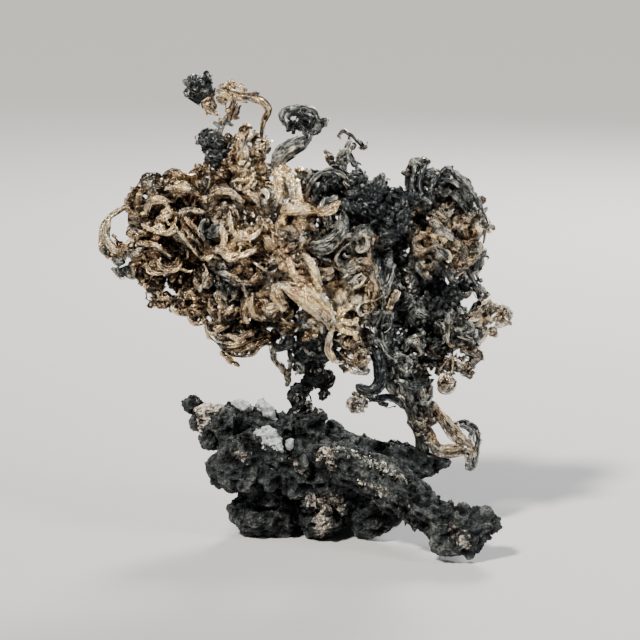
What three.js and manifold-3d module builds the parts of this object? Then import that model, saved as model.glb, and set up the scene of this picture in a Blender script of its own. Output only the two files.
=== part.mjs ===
// Native silver on acanthite: a bush of curled silver wires and ribbons that stands on two stems
// on a lump of black silver sulphide, with a few grains of white calcite.
//
// Millimetres, +Z up, +X to the right and +Y to the back. The origin is at the centre of the
// bounding box's underside, on the surface that the specimen stands on.
//
// Every piece is a union of two simple shapes. A lump is a rounded knob, [x, y, z, radius] or
// [x, y, z, radius x, radius y, radius z]. A strand is a wire that swells and thins along a smooth
// curve, given by its points, each [x, y, z, radius]. A tangle of wires too fine to be solids of
// their own is one solid that reaches the tips of its wires.

import * as THREE from "three";
import { mergeVertices } from "three/addons/utils/BufferGeometryUtils.js";
import Module from "manifold-3d";

const wasm = await Module();
wasm.setup();

const GAP = 0.4; // clearance between pieces that touch
const STRAND_STEP = 1.7; // length of one facet along a strand, at the least
const STRAND_SIDES = 5; // facets around a wire
const RIDGE_SIDES = 8; // facets around a ridge of the matrix
const SMALL_LUMP = 2.3; // below this radius a lump has the fewest facets
const ROUGHNESS = 0.09; // how far a lump's corners move in or out, as a share of its radius
const PLAIN_DETAIL = 0.4; // creases finer than this are smoothed away before a piece is cut
const CUT_DETAIL = 0.2; // and finer than this afterwards, well inside the gap
const CRUMBS = 0.03; // the share of a piece that may be dropped as crumbs
const FLOOR_DEPTH = 20; // thickness of the block that trims what lies below the floor
const FLOOR_WIDTH = 120;

const MATERIALS = {
  acanthite: { color: 0x262c30, roughness: 0.6, metalness: 0.45 },
  tarnished_silver: { color: 0x5c6262, roughness: 0.45, metalness: 0.8 },
  warm_silver: { color: 0xc9ae8c, roughness: 0.35, metalness: 0.9 },
  bright_silver: { color: 0xe2d2b4, roughness: 0.3, metalness: 0.9 },
  calcite: { color: 0xdadcda, roughness: 0.55, metalness: 0.0 },
};

// ---------------------------------------------------------------------------
// The pieces
// ---------------------------------------------------------------------------

// The rock, from the left end to the point at the front right. Three knobs reach the floor.
const MATRIX = {
  name: "acanthite_matrix",
  material: "acanthite",
  sides: RIDGE_SIDES,
  lumps: [
    [-9.4, -3, 12.2, 5.4, 4.8, 5.2],
    [1.6, 8.6, 9.2, 7.4, 5.2, 6],
    [1, 5, 16.6, 3.8],
    [12.2, 10.6, 4, 4.8],
    [-4.4, 11.2, 4, 4.8],
    [16, -6.6, 8.8, 4.6, 3.8, 3.6],
    [23.4, -11.8, 3.8, 5.2, 4.2, 4.7],
  ],
  strands: [
    [
      [-5, -2, 13, 3.4],
      [1, -1.6, 13.6, 4.2],
      [7, -3.2, 12.4, 4.2],
      [13, -5.8, 10, 3.8],
      [19, -9, 7, 3.6],
      [24.6, -11.4, 5, 3.6],
      [29.8, -12, 5, 1.3],
    ],
    [
      [-16, 3.8, 16.6, 2.2],
      [-10.4, 4, 16.6, 4.9],
      [-4.4, 5, 13.6, 5.4],
      [2, 5.2, 11.8, 5.4],
      [8, 5.4, 10.4, 4.6],
      [14.4, 4.6, 11.2, 3.3],
      [20.2, 4.2, 11.2, 2.7],
    ],
    [
      [-9.8, 3.6, 4.6, 3.2],
      [-7.2, 3.9, 4.7, 4.9],
      [-1.4, 2.4, 5.2, 4.6],
      [4, 0.8, 4.8, 5],
      [9.6, 1.5, 5.4, 4.9],
      [13.8, 1.8, 6, 3],
    ],
  ],
};

const CRYSTALS = [
  { name: "calcite_grain_left", material: "calcite", lumps: [[-10.2, 4.6, 21.2, 2, 1.6, 1]] },
  { name: "calcite_grain_right", material: "calcite", lumps: [[-6.3, 4.8, 20.4, 1.3, 1.4, 1.5]] },
  { name: "calcite_crust_front", material: "calcite", lumps: [[-5.6, -3, 16.2, 2.4, 1.8, 1.6]] },
  { name: "calcite_pebble", material: "calcite", lumps: [[-2.4, -2.2, 16.6, 0.8]] },
];

const PATCHES = [
  {
    name: "silver_patch_low",
    material: "warm_silver",
    lumps: [
      [3.4, -2.4, 5.2, 2.5, 1.4, 2.9],
      [1.4, -2.4, 6.9, 1.4],
    ],
  },
  { name: "silver_patch_high", material: "warm_silver", lumps: [[3.8, -5, 15.1, 2.1, 1.6, 1.4]] },
  {
    name: "silver_ledge",
    material: "warm_silver",
    strands: [[[9, -7.6, 11, 0.6], [11, -8, 10.8, 1.1], [13.5, -8.6, 10.2, 1.1], [15.6, -9.4, 9.2, 0.6]]],
  },
  {
    name: "silver_vein",
    material: "tarnished_silver",
    strands: [[[5, -5, 16, 0.5], [8.5, -5.2, 15, 0.8], [12, -6, 13.5, 0.7], [15.5, -8, 12, 0.5]]],
  },
  {
    name: "silver_leaf_left",
    material: "warm_silver",
    strands: [[[-12.6, 3, 20.6, 0.7], [-14.6, 3, 19.9, 1.1], [-16.4, 3, 18.4, 1], [-17, 3, 16.9, 0.6]]],
  },
  { name: "acanthite_knob", material: "acanthite", lumps: [[-18, 3.6, 20.9, 1.5], [-17, 3.6, 20.4, 1.1]] },
];

const STEMS = [
  {
    name: "left_stem",
    material: "acanthite",
    lumps: [
      [2.9, 4.6, 25.2, 1.8],
      [-1.2, 4.5, 23.4, 1.7],
      [-1.5, 4.4, 26.2, 1.7],
    ],
    strands: [[[1, 5, 18.5, 2], [0.2, 5, 21.7, 2], [0.5, 5, 24.8, 1.9], [0.9, 5, 28, 1.8], [1.2, 5, 32.5, 1.7]]],
  },
  {
    name: "right_stem",
    material: "tarnished_silver",
    strands: [
      [
        [19.4, 4.5, 11.5, 1.2],
        [18.9, 4, 14.8, 1.3],
        [18.3, 3.5, 18, 1.6],
        [17.2, 3, 21.1, 1.8],
        [16.2, 2, 24.4, 2.2],
        [14.8, 0.5, 28.3, 2.2],
        [12.8, -1.5, 32.3, 1.8],
        [12, -2.5, 35.6, 1.9],
        [12.2, -3, 39.8, 1.4],
        [12.9, -3, 43.9, 1.5],
        [13.2, -2, 47, 1.3],
      ],
    ],
  },
];

const TRUNK = {
  name: "silver_trunk",
  material: "bright_silver",
  strands: [
    [
      [6.6, -6, 35.6, 1.3],
      [4, -7, 37.9, 1.7],
      [1.3, -8, 40.6, 2],
      [-1.5, -8, 42.5, 2],
      [-3, -7, 44.6, 2.1],
      [-3, -6, 47.8, 2.5],
      [-1.8, -5.5, 51.6, 2.3],
      [-1, -4.5, 54.6, 2.1],
      [-1.6, -3.5, 57.3, 1.6],
      [-3.2, -2.5, 59.6, 1.2],
      [-4, -2, 61.4, 1],
    ],
    [[-2.4, -4.4, 52.6, 1.1], [-3.9, -3.7, 56.2, 1], [-3.8, -2.8, 60, 0.8]],
    [[-0.5, -6, 53.2, 1.2], [2.4, -7, 54.2, 1.2], [4.9, -7.6, 55.7, 0.4]],
  ],
};

const WIRES = [
  {
    name: "top_curl",
    material: "tarnished_silver",
    strands: [
      [
        [-4, -2, 62.1, 1],
        [-3.3, -2.2, 63.5, 1.2],
        [-1, -2.5, 64.2, 1.2],
        [1, -2.5, 65, 1],
        [1.9, -2.3, 66.7, 0.7],
        [1.4, -2.2, 68.6, 0.7],
        [0, -2, 69.5, 0.7],
        [-1.7, -2, 69.7, 0.7],
        [-3.3, -2.2, 68.7, 0.7],
        [-3.9, -2.6, 67.4, 0.6],
        [-2.9, -3, 66.7, 0.5],
        [-2, -2.8, 67.5, 0.35],
      ],
      [[1.4, -2, 67.8, 0.5], [2.5, -1.8, 67.4, 0.45], [3.5, -1.6, 67.6, 0.35]],
    ],
  },
  {
    name: "small_curl",
    material: "tarnished_silver",
    strands: [
      [[5.8, 0, 58.6, 0.8], [5.6, -0.5, 59.8, 0.9], [4.4, -1, 60.6, 0.8], [3.6, -1.2, 62.3, 0.5]],
      [
        [5.6, -0.5, 59.8, 0.8],
        [6.6, -0.5, 61.8, 0.7],
        [7.1, -0.7, 63.6, 0.5],
        [7.7, -1, 64.9, 0.5],
        [6.4, -1.3, 65.9, 0.5],
        [5.2, -1.4, 65, 0.35],
      ],
      [[7.2, -0.7, 64, 0.45], [8.4, -0.5, 63.8, 0.4], [9.5, -0.3, 63.1, 0.3]],
      [[6, -0.2, 60, 0.6], [7.4, 0, 59.3, 0.5], [8.5, 0, 59.1, 0.6]],
    ],
  },
  {
    name: "arch_wire",
    material: "warm_silver",
    strands: [
      [
        [-6.6, 0, 63.6, 0.5],
        [-6.9, -0.5, 65.3, 0.6],
        [-6.3, -1, 67.5, 0.75],
        [-5.8, -1, 69.2, 0.75],
        [-6.6, -1, 70.7, 0.75],
        [-8.6, -0.8, 71.4, 0.7],
        [-10.8, -0.5, 71.7, 0.9],
        [-12.8, 0, 72.1, 1],
        [-14.4, 0.5, 72.4, 0.8],
      ],
      [[-10, -0.6, 71, 0.5], [-11.3, -0.3, 69.1, 0.6], [-12.1, 0, 67.5, 0.5], [-12.9, 0.8, 65.9, 0.4]],
      [[-14, 0.3, 72, 0.7], [-14.9, 0, 69.8, 0.5], [-14.3, 0, 68.3, 0.3]],
    ],
  },
  {
    name: "left_loop",
    material: "warm_silver",
    strands: [
      [
        [-25.9, 1, 52.4, 0.5],
        [-27.5, 0.5, 53.3, 0.5],
        [-29.2, 0, 52.7, 0.5],
        [-30.7, 0, 51.2, 0.6],
        [-31.4, 0, 49.1, 0.85],
        [-31, 0, 47.1, 1.1],
        [-29.7, 0, 45.9, 1.25],
        [-28, 0.5, 45.8, 1.3],
        [-26.2, 1, 46.6, 1.2],
      ],
      [[-27.2, 1, 44.6, 0.8], [-28.4, 0.9, 43.6, 0.7], [-29.7, 0.8, 42.9, 0.5]],
      [[-27.4, 0.8, 45.2, 0.8], [-27.2, 1, 44.2, 0.8]],
    ],
  },
  {
    name: "ring_curl",
    material: "tarnished_silver",
    strands: [
      [
        [4.6, -6.6, 54.4, 0.5],
        [6, -7.4, 53.8, 0.7],
        [6.5, -8, 51.6, 0.9],
        [5.2, -8.2, 49.4, 1.1],
        [2.8, -8, 48.5, 1.1],
        [0.4, -7.2, 49.6, 0.8],
      ],
    ],
  },
  {
    name: "front_hook",
    material: "warm_silver",
    strands: [
      [
        [4.2, -6.3, 34.8, 0.8],
        [3.6, -6.5, 32.9, 0.7],
        [4.2, -6.5, 31, 0.65],
        [5.8, -6, 29.9, 0.6],
        [7.8, -5.5, 29.1, 0.55],
        [9.5, -5, 28.2, 0.4],
      ],
    ],
  },
  {
    name: "hanging_hook",
    material: "acanthite",
    strands: [
      [
        [11.2, -2.4, 31.4, 1],
        [11.4, -3.2, 29.2, 0.9],
        [11.7, -3.4, 27.4, 0.9],
        [10.8, -3.4, 25.8, 0.85],
        [9.2, -3, 25, 0.8],
        [8.2, -2.6, 24.2, 0.7],
      ],
    ],
  },
  { name: "hook_bead", material: "warm_silver", lumps: [[7.9, -2.4, 22.2, 1.4, 1.3, 1.4]] },
  {
    name: "stem_wire",
    material: "warm_silver",
    strands: [
      [
        [-5.2, 0.6, 33.8, 0.5],
        [-4.9, 1.4, 31, 0.45],
        [-4.2, 2.2, 28.6, 0.5],
        [-3.5, 3, 26.6, 0.5],
        [-2.9, 3.8, 24.8, 0.45],
      ],
    ],
  },
  {
    name: "foot_strands",
    material: "warm_silver",
    strands: [
      [[18.2, 2.4, 21.6, 0.6], [20.2, 2, 20.3, 0.9], [21.8, 2, 18, 0.8], [24, 2, 15.6, 0.8], [26.4, 2, 14.2, 0.5]],
      [[19.2, 3, 18, 0.6], [20.2, 3.1, 15.8, 0.8], [21.5, 3.1, 14.2, 0.9], [24.1, 2.3, 14.2, 0.7]],
    ],
  },
  {
    name: "foot_ring",
    material: "tarnished_silver",
    strands: [
      [
        [23.2, 2.6, 16.6, 0.45],
        [23.4, 3.2, 18.2, 0.45],
        [25.2, 3.2, 18, 0.5],
        [26.9, 3, 16.4, 0.45],
        [27.3, 3, 14, 0.5],
        [26.6, 3.4, 12.7, 0.6],
        [25.7, 3.4, 11, 0.5],
      ],
    ],
  },
];

const TUFTS = [
  {
    name: "high_tuft",
    material: "acanthite",
    lumps: [
      [-16.6, 1, 72, 2],
      [-15.3, 0.8, 73.6, 1.4],
      [-18, 1, 71.1, 1.2],
    ],
  },
  {
    name: "low_tuft",
    material: "acanthite",
    lumps: [
      [-14.4, 1.5, 62.4, 2.2],
      [-12.9, 1.5, 60.6, 1.9],
      [-15.9, 1.5, 63.6, 1.3],
      [-13, 1.5, 64.2, 1.3],
    ],
  },
  {
    name: "dark_cluster",
    material: "acanthite",
    lumps: [
      [9, -2, 54, 3.3],
      [12.4, -2, 54, 3.3],
      [10.6, -1, 56.8, 2.2],
      [14.6, -1, 51.6, 2.8],
    ],
  },
];

const LOBES = [
  {
    name: "crown_lobe",
    material: "warm_silver",
    lumps: [
      [-9.8, 0.5, 58.6, 3],
      [-8.2, 0.5, 62, 2.5],
      [-9.4, 0.8, 64, 1.6],
      [-6.7, 0, 62.6, 1.6],
    ],
  },
  {
    name: "left_lobe",
    material: "warm_silver",
    lumps: [
      [-23.8, 3, 53, 4.2],
      [-24, 2.6, 47.8, 3.8],
      [-19.6, 2.6, 54, 4.5],
      [-19.8, 4.4, 47.6, 5.2, 6.4, 5.2],
    ],
  },
  {
    name: "left_tassel",
    material: "warm_silver",
    lumps: [
      [-23.4, 3, 42.2, 2.4],
      [-23.8, 3, 39, 1.5],
      [-19, 1.6, 40.6, 3.1],
      [-17, 1, 36.9, 2.1],
    ],
  },
  {
    name: "middle_lobe",
    material: "warm_silver",
    lumps: [
      [-13.2, -1.6, 49.8, 5.6],
      [-9.2, -1.6, 53.6, 4.7],
      [-8.4, -2.2, 45.4, 5.3],
      [-12.8, -0.4, 41.4, 4.7],
      [-12.2, 4.4, 48, 6.2, 6, 7.6],
      [-6.4, -1.8, 38.8, 4.5],
    ],
  },
  {
    name: "lower_lobe",
    material: "warm_silver",
    lumps: [
      [-9.6, 0, 33.2, 3.8],
      [-12.4, 0, 32.2, 2.5],
      [-10.5, 0, 29.8, 1.5],
    ],
  },
  {
    name: "back_lobe_left",
    material: "tarnished_silver",
    lumps: [
      [-5.2, 11, 48, 5.8],
      [-12, 11.2, 45.6, 5.2],
      [-2.6, 11, 41, 5],
    ],
  },
  {
    name: "right_centre_lobe",
    material: "warm_silver",
    lumps: [
      [7.4, -3, 46, 4.4, 4.4, 5.6],
      [5.8, -2.6, 38.8, 3.9],
      [6.4, 1.8, 43, 5.6],
      [3.2, 1, 50, 5.2],
    ],
  },
  {
    name: "under_lobe",
    material: "acanthite",
    lumps: [
      [1.2, 1, 33.4, 3.4],
      [4.6, 2, 32.4, 2.7],
      [1.4, 1.4, 37.4, 3.4],
    ],
  },
  {
    name: "dark_wreath",
    material: "tarnished_silver",
    lumps: [
      [3.2, -0.5, 56.4, 2.9],
      [5.4, -0.4, 56, 2.2],
    ],
  },
  {
    name: "front_tassel",
    material: "warm_silver",
    lumps: [
      [7, -4.4, 32.4, 2],
      [8.3, -4.2, 30.2, 1.4],
    ],
  },
  {
    name: "right_lobe",
    material: "warm_silver",
    lumps: [
      [21.8, 2, 54, 5.1],
      [24, 1.6, 48.2, 4.8, 4.8, 6],
      [19.2, -0.6, 48, 5.3],
      [20.8, 5.2, 48, 6],
    ],
    strands: [[[26.4, 1.8, 46.6, 1.8], [26.9, 1.8, 43.4, 1.7], [27.4, 1.6, 41, 1.3], [28.3, 1.5, 39.2, 0.7]]],
  },
  {
    name: "right_horn",
    material: "tarnished_silver",
    lumps: [[18.6, 1.6, 57.2, 1.6]],
    strands: [[[17, 2, 54.4, 1.6], [16.9, 1.6, 57.4, 1.5], [17.6, 1.4, 59.4, 1.2], [18.4, 1.3, 61, 0.6]]],
  },
  {
    name: "right_lower_lobe",
    material: "tarnished_silver",
    lumps: [
      [17.8, 0.4, 36.4, 3.1],
      [17, 0.4, 31.8, 3.1],
      [20.2, 1, 32, 2.4],
      [20, 1.8, 39, 3.2],
    ],
  },
  {
    name: "right_arm",
    material: "warm_silver",
    strands: [
      [[21.4, 0, 34.6, 1.8], [23.4, 0, 35.2, 2.4], [25.6, 0, 35, 2.4], [28, -0.3, 36.2, 1.8], [30.2, -0.5, 37.2, 1.5], [31.6, -0.5, 36.2, 0.8]],
      [[25.6, 0, 34, 1.9], [26.3, -0.4, 31, 1.5], [25.6, -0.5, 28.4, 1.3], [25, -0.5, 27, 0.8]],
      [[27.2, -0.3, 35.2, 1.2], [29.6, -0.5, 33.2, 0.8]],
    ],
  },
  {
    name: "arm_drop",
    material: "warm_silver",
    strands: [[[22.5, -0.3, 32.6, 0.9], [22.2, -0.5, 30, 0.7], [22.4, -0.5, 27.6, 1], [22.4, -0.5, 25.7, 1.4], [22.2, -0.5, 24.3, 0.7]]],
  },
  {
    name: "back_lobe_right",
    material: "tarnished_silver",
    lumps: [
      [12, 10, 47, 5.8],
      [17.4, 9.6, 42.6, 4.8],
      [6, 11.4, 44, 5.2],
      [11, 6.2, 39.4, 5, 5, 5.8],
    ],
  },
];

// ---------------------------------------------------------------------------
// The two shapes
// ---------------------------------------------------------------------------

// Moves every corner of a geometry; place(corner) returns where it goes.
function moved(geometry, place) {
  const position = geometry.attributes.position;
  const corner = new THREE.Vector3();
  for (let i = 0; i < position.count; i++) {
    corner.fromBufferAttribute(position, i);
    const to = place(corner);
    position.setXYZ(i, to.x, to.y, to.z);
  }
  return geometry;
}

// A smooth figure from -1 to 1 that differs from one direction and one lump to the next.
function ripple(direction, x, y, z) {
  const a = Math.sin(3.1 * direction.x + 2.3 * direction.y + x + 0.7 * z);
  const b = Math.sin(2.9 * direction.z - 3.7 * direction.x + 1.3 * y + 0.4 * x);
  return (a + b) / 2;
}

// A rounded knob with an uneven surface, grown by `grow` all over.
function lumpGeometry([x, y, z, rx, ry = rx, rz = rx], grow) {
  const detail = rx < SMALL_LUMP ? 0 : 1;
  return moved(new THREE.IcosahedronGeometry(1, detail), (corner) => {
    const share = 1 + ROUGHNESS * ripple(corner, x, y, z);
    return new THREE.Vector3(
      x + corner.x * (rx * share + grow),
      y + corner.y * (ry * share + grow),
      z + corner.z * (rz * share + grow),
    );
  });
}

// A closed cylinder bent along a smooth curve through the points, as thick as they say.
function strandGeometry(points, grow, sides) {
  const curve = new THREE.CatmullRomCurve3(
    points.map(([x, y, z]) => new THREE.Vector3(x, y, z)),
    false,
    "centripetal",
  );
  const thickest = Math.max(...points.map((point) => point[3]));
  const steps = Math.max(points.length, Math.ceil(curve.getLength() / Math.max(STRAND_STEP, thickest)));
  const frames = curve.computeFrenetFrames(steps);
  const radius = new THREE.CatmullRomCurve3(points.map((p) => new THREE.Vector3(p[3], 0, 0)));
  return moved(new THREE.CylinderGeometry(1, 1, 1, sides, steps), (corner) => {
    const ring = Math.round((corner.y + 0.5) * steps);
    const share = ring / steps;
    const uneven = 1 + ROUGHNESS * ripple(corner, ring, points[0][0], points[0][2]);
    const thick = radius.getPoint(curve.getUtoTmapping(share)).x * uneven + grow;
    return curve
      .getPointAt(share)
      .addScaledVector(frames.normals[ring], corner.x * thick)
      .addScaledVector(frames.binormals[ring], -corner.z * thick)
      .addScaledVector(frames.tangents[ring], grow * Math.sign(share - 0.5) * Number(share % 1 === 0));
  });
}

// ---------------------------------------------------------------------------
// Joining and cutting
// ---------------------------------------------------------------------------

// A geometry as a solid that can be joined and cut.
function toSolid(geometry) {
  geometry.deleteAttribute("normal");
  geometry.deleteAttribute("uv");
  const merged = mergeVertices(geometry, 1e-4);
  return new wasm.Manifold(
    new wasm.Mesh({
      numProp: 3,
      vertProperties: new Float32Array(merged.attributes.position.array),
      triVerts: new Uint32Array(merged.index.array),
    }),
  );
}

// A piece's shapes as one solid, grown by `grow`.
function solidOf(piece, grow = 0) {
  const sides = piece.sides ?? STRAND_SIDES;
  const lumps = (piece.lumps ?? []).map((lump) => lumpGeometry(lump, grow));
  const strands = (piece.strands ?? []).map((points) => strandGeometry(points, grow, sides));
  return [...lumps, ...strands].map(toSolid).reduce((whole, part) => whole.add(part));
}

// The one body of a piece. Crumbs that a cut leaves beside it are dropped; a piece that a cut has
// split is refused, since half of it would be lost.
function oneBody(solid, name) {
  const body = solid.decompose().reduce((best, next) => (next.volume() > best.volume() ? next : best));
  const lost = 1 - body.volume() / solid.volume();
  if (lost > CRUMBS) throw new Error(`${name} would lose ${(lost * 100).toFixed(1)} % of its volume`);
  return body;
}

// A solid as a geometry that three.js can draw.
function toGeometry(solid) {
  const mesh = solid.getMesh();
  const geometry = new THREE.BufferGeometry();
  geometry.setAttribute("position", new THREE.BufferAttribute(new Float32Array(mesh.vertProperties), 3));
  geometry.setIndex(new THREE.BufferAttribute(new Uint32Array(mesh.triVerts), 1));
  geometry.computeVertexNormals();
  return geometry;
}

// A block whose top is the floor. It trims what would lie below.
function belowFloor() {
  const block = new THREE.BoxGeometry(FLOOR_WIDTH, FLOOR_WIDTH, FLOOR_DEPTH);
  return toSolid(block.translate(0, 0, -FLOOR_DEPTH / 2));
}

// ---------------------------------------------------------------------------
// The specimen
// ---------------------------------------------------------------------------

// Earlier pieces keep their whole shape, and each later one makes room for them.
const ORDER = [...CRYSTALS, ...PATCHES, ...WIRES, TRUNK, ...STEMS, ...TUFTS, ...LOBES, MATRIX];

const specimen = new THREE.Group();
specimen.name = "native_silver_on_acanthite";

const placed = [];
for (const piece of ORDER) {
  let solid = solidOf(piece).simplify(PLAIN_DETAIL);
  const box = new THREE.Box3(new THREE.Vector3(...solid.boundingBox().min), new THREE.Vector3(...solid.boundingBox().max));
  for (const other of placed) {
    if (box.intersectsBox(other.box)) solid = solid.subtract(other.grown);
  }
  if (piece === MATRIX) solid = solid.subtract(belowFloor());
  const geometry = toGeometry(oneBody(solid.simplify(CUT_DETAIL), piece.name));
  const mesh = new THREE.Mesh(geometry, new THREE.MeshStandardMaterial(MATERIALS[piece.material]));
  mesh.name = piece.name;
  specimen.add(mesh);
  placed.push({ grown: solidOf(piece, GAP), box: box.expandByScalar(GAP * 2) });
}

export default specimen;
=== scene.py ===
# %% [markdown]
# # Native silver on acanthite
#
# A mineral specimen: a bush of curled silver wires and ribbons that grew out of a lump of black
# silver sulphide, acanthite. Silver is pushed out of the sulphide like toothpaste from a tube, so
# every wire is a striated ribbon that bends, curls and splits as it goes.
#
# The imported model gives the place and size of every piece. Here each plain solid is replaced by a
# detailed mesh that is worked out with numpy.

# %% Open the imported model
import math
import bpy
import numpy as np
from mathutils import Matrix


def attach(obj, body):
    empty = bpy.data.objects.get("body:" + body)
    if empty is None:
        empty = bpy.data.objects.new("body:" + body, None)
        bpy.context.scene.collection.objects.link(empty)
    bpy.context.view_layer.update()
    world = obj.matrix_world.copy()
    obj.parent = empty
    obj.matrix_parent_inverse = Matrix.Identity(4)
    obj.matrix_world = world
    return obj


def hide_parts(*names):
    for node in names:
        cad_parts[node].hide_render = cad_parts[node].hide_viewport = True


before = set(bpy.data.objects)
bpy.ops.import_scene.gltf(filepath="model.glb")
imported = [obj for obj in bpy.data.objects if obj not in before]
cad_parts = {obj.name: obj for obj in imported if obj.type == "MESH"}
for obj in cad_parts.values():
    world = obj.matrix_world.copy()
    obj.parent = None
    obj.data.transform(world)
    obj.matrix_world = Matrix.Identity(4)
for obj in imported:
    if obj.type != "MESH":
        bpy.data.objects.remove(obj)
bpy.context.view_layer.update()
MM = 0.001  # lengths are in millimetres unless said, and Blender works in metres
ROOT = "root"
print("pieces in the packed model:", len(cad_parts))

# %% [markdown]
# ## Noise
#
# Natural surfaces need unevenness of several sizes. Blender has noise in its materials, but a
# shape needs it in the mesh. Two kinds are enough: a smooth rolling noise, and a grainy one that
# measures the distance to the nearest of many scattered points. Both are worked out for all points
# at once.

# %% Smooth noise and grains
def hashed(x, y, z, seed):
    """A fixed random number from 0 to 1 for each lattice point: its whole coordinates are
    multiplied by large primes and mixed."""
    mixed = (x * 73856093) ^ (y * 19349663) ^ (z * 83492791) ^ (seed * 6542989)
    mixed = mixed & 0xFFFFFFFF
    mixed = ((mixed ^ (mixed >> 13)) * 1274126177) & 0xFFFFFFFF
    return ((mixed ^ (mixed >> 16)) & 0xFFFF) / 65535.0


def rolling(points, size, seed):
    """Smooth noise from -1 to 1: the random values at the eight corners of the lattice cell that
    a point is in, blended by where in the cell it is."""
    place = np.asarray(points, float) / size
    corner = np.floor(place).astype(np.int64)
    within = place - corner
    blend = within * within * (3 - 2 * within)
    total = np.zeros(place.shape[:-1])
    for dx, dy, dz in np.ndindex(2, 2, 2):
        share = (
            np.where(dx, blend[..., 0], 1 - blend[..., 0])
            * np.where(dy, blend[..., 1], 1 - blend[..., 1])
            * np.where(dz, blend[..., 2], 1 - blend[..., 2])
        )
        total += share * hashed(corner[..., 0] + dx, corner[..., 1] + dy, corner[..., 2] + dz, seed)
    return total * 2 - 1


def grains(points, size, seed):
    """Distance to the nearest scattered point, in grain sizes: each lattice cell holds one point
    at a random place, and the 27 cells round a point are searched."""
    place = np.asarray(points, float) / size
    cell = np.floor(place).astype(np.int64)
    nearest = np.full(place.shape[:-1], 9.0)
    for step in np.ndindex(3, 3, 3):
        other = cell + (np.array(step) - 1)
        x, y, z = other[..., 0], other[..., 1], other[..., 2]
        seat = other + np.stack([hashed(x, y, z, seed + k) for k in range(3)], axis=-1)
        nearest = np.minimum(nearest, ((place - seat) ** 2).sum(axis=-1))
    return np.sqrt(nearest)


sample = np.random.default_rng(1).uniform(0, 9, (2000, 3))
print("rolling noise spread:", rolling(sample, 1.0, 3).std().round(2))

# %% [markdown]
# ## A profile carried along a path
#
# Everything here, wire or rock, is one kind of surface: a closed profile carried along a path and
# closed at both ends. A wire has a long path and a flat profile. A lump has a short straight path
# and a round profile that opens and closes as a ball does. Many paths are carried at once, as one
# array with an axis for the path, one for the ring and one for the place round the ring.

# %% Frames along the paths
def unit(vectors):
    """Vectors divided by their length."""
    return vectors / np.maximum(np.linalg.norm(vectors, axis=-1, keepdims=True), 1e-9)


def carried_frames(centre, facing):
    """Two directions across each path at every ring. The first ring's come from where the ribbon
    faces; each next ring keeps the last ones, less what points along the path, so they don't spin."""
    along = unit(np.gradient(centre, axis=1))
    side = np.empty_like(along)
    side[:, 0] = unit(np.cross(facing, along[:, 0]) + 1e-4)
    for ring in range(1, centre.shape[1]):
        last = side[:, ring - 1]
        side[:, ring] = unit(last - along[:, ring] * (last * along[:, ring]).sum(-1, keepdims=True))
    return along, side, np.cross(along, side)


# A quarter circle, 5 mm in radius, on which the next prints try each step.
quarter = np.linspace(0, np.pi / 2, 9)
BEND = 5 * np.stack([np.sin(quarter), 0 * quarter, np.cos(quarter)], axis=-1)[None]
FRONT = np.array([[0, -1, 0]])
print("side at the end of a bend:", carried_frames(BEND, FRONT)[1][0, -1].round(2))


# %% Rings of a ribbon
def ring_angles(sides):
    """Angles round a ring, with axes that spread over every path and ring."""
    return np.linspace(0, 2 * np.pi, sides, endpoint=False)[None, None, :]


def ribbon_rings(centre, wide, thick, facing, sides, seed, twist=0.5, gutter=0.25, flute=0.16):
    """Rings of flat, fluted ribbons. Round the ring by angle a, a point is wide * cos(a) across
    and thick * sin(a) through. The flutes swell that by a wave of a few crests, the gutter lifts
    the edges by cos(a) squared, and the twist turns the ring slowly as it goes along."""
    rng = np.random.default_rng(seed)
    count, rings = centre.shape[:2]
    _, side, through = carried_frames(centre, facing)
    run = np.linspace(0, 1, rings)[None, :]
    turn = rng.normal(0, twist, (count, 1)) + rng.normal(0, 2 * twist, (count, 1)) * (run - 0.5)
    cos, sin = np.cos(turn)[..., None], np.sin(turn)[..., None]
    side, through = side * cos + through * sin, through * cos - side * sin
    angle = ring_angles(sides)
    crests = rng.integers(3, 6, (count, 1, 1))
    phase = rng.uniform(0, 6.3, (count, 1, 1)) + rng.normal(0, 2, (count, 1, 1)) * run[..., None]
    swell = 1 + flute * np.cos(crests * angle + phase)
    across = wide[..., None] * np.cos(angle) * swell
    lift = rng.normal(0, gutter, (count, 1, 1)) * wide[..., None] * (np.cos(angle) ** 2 - 0.5)
    up = thick[..., None] * np.sin(angle) * swell + lift
    return centre[:, :, None] + across[..., None] * side[:, :, None] + up[..., None] * through[:, :, None]


# %% Pushing a surface in and out
def outward(rings):
    """The surface's outward direction at each point: the step round the ring crossed with the
    step along the path."""
    around = np.roll(rings, -1, axis=2) - np.roll(rings, 1, axis=2)
    along = np.gradient(rings, axis=1)
    return unit(np.cross(around, along))


def pushed(rings, height):
    """Rings with each point moved outward by its height."""
    return rings + outward(rings) * height[..., None]


def crumpled(rings, amount, size, seed):
    """A surface with dents: each point is pushed out by rolling noise."""
    return pushed(rings, amount * rolling(rings, size, seed))


half_width = np.ones((1, 9))
SAMPLE = ribbon_rings(BEND, half_width, 0.4 * half_width, FRONT, sides=8, seed=1)
print("paths, rings, sides and axes of a sample:", crumpled(SAMPLE, 0.2, 1.0, 1).shape)


# %% [markdown]
# ## From rings to a mesh
#
# A skin is the closed surface over a set of rings, as arrays of points and faces. It carries what
# the materials need. Tone says how bright a wire is, tarnish says how black it has gone, and the
# grain is a place along and round the wire that striations can follow. It also carries an unwrapped
# map with one tile for each wire, so that a material can be baked onto it sharply.

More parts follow.
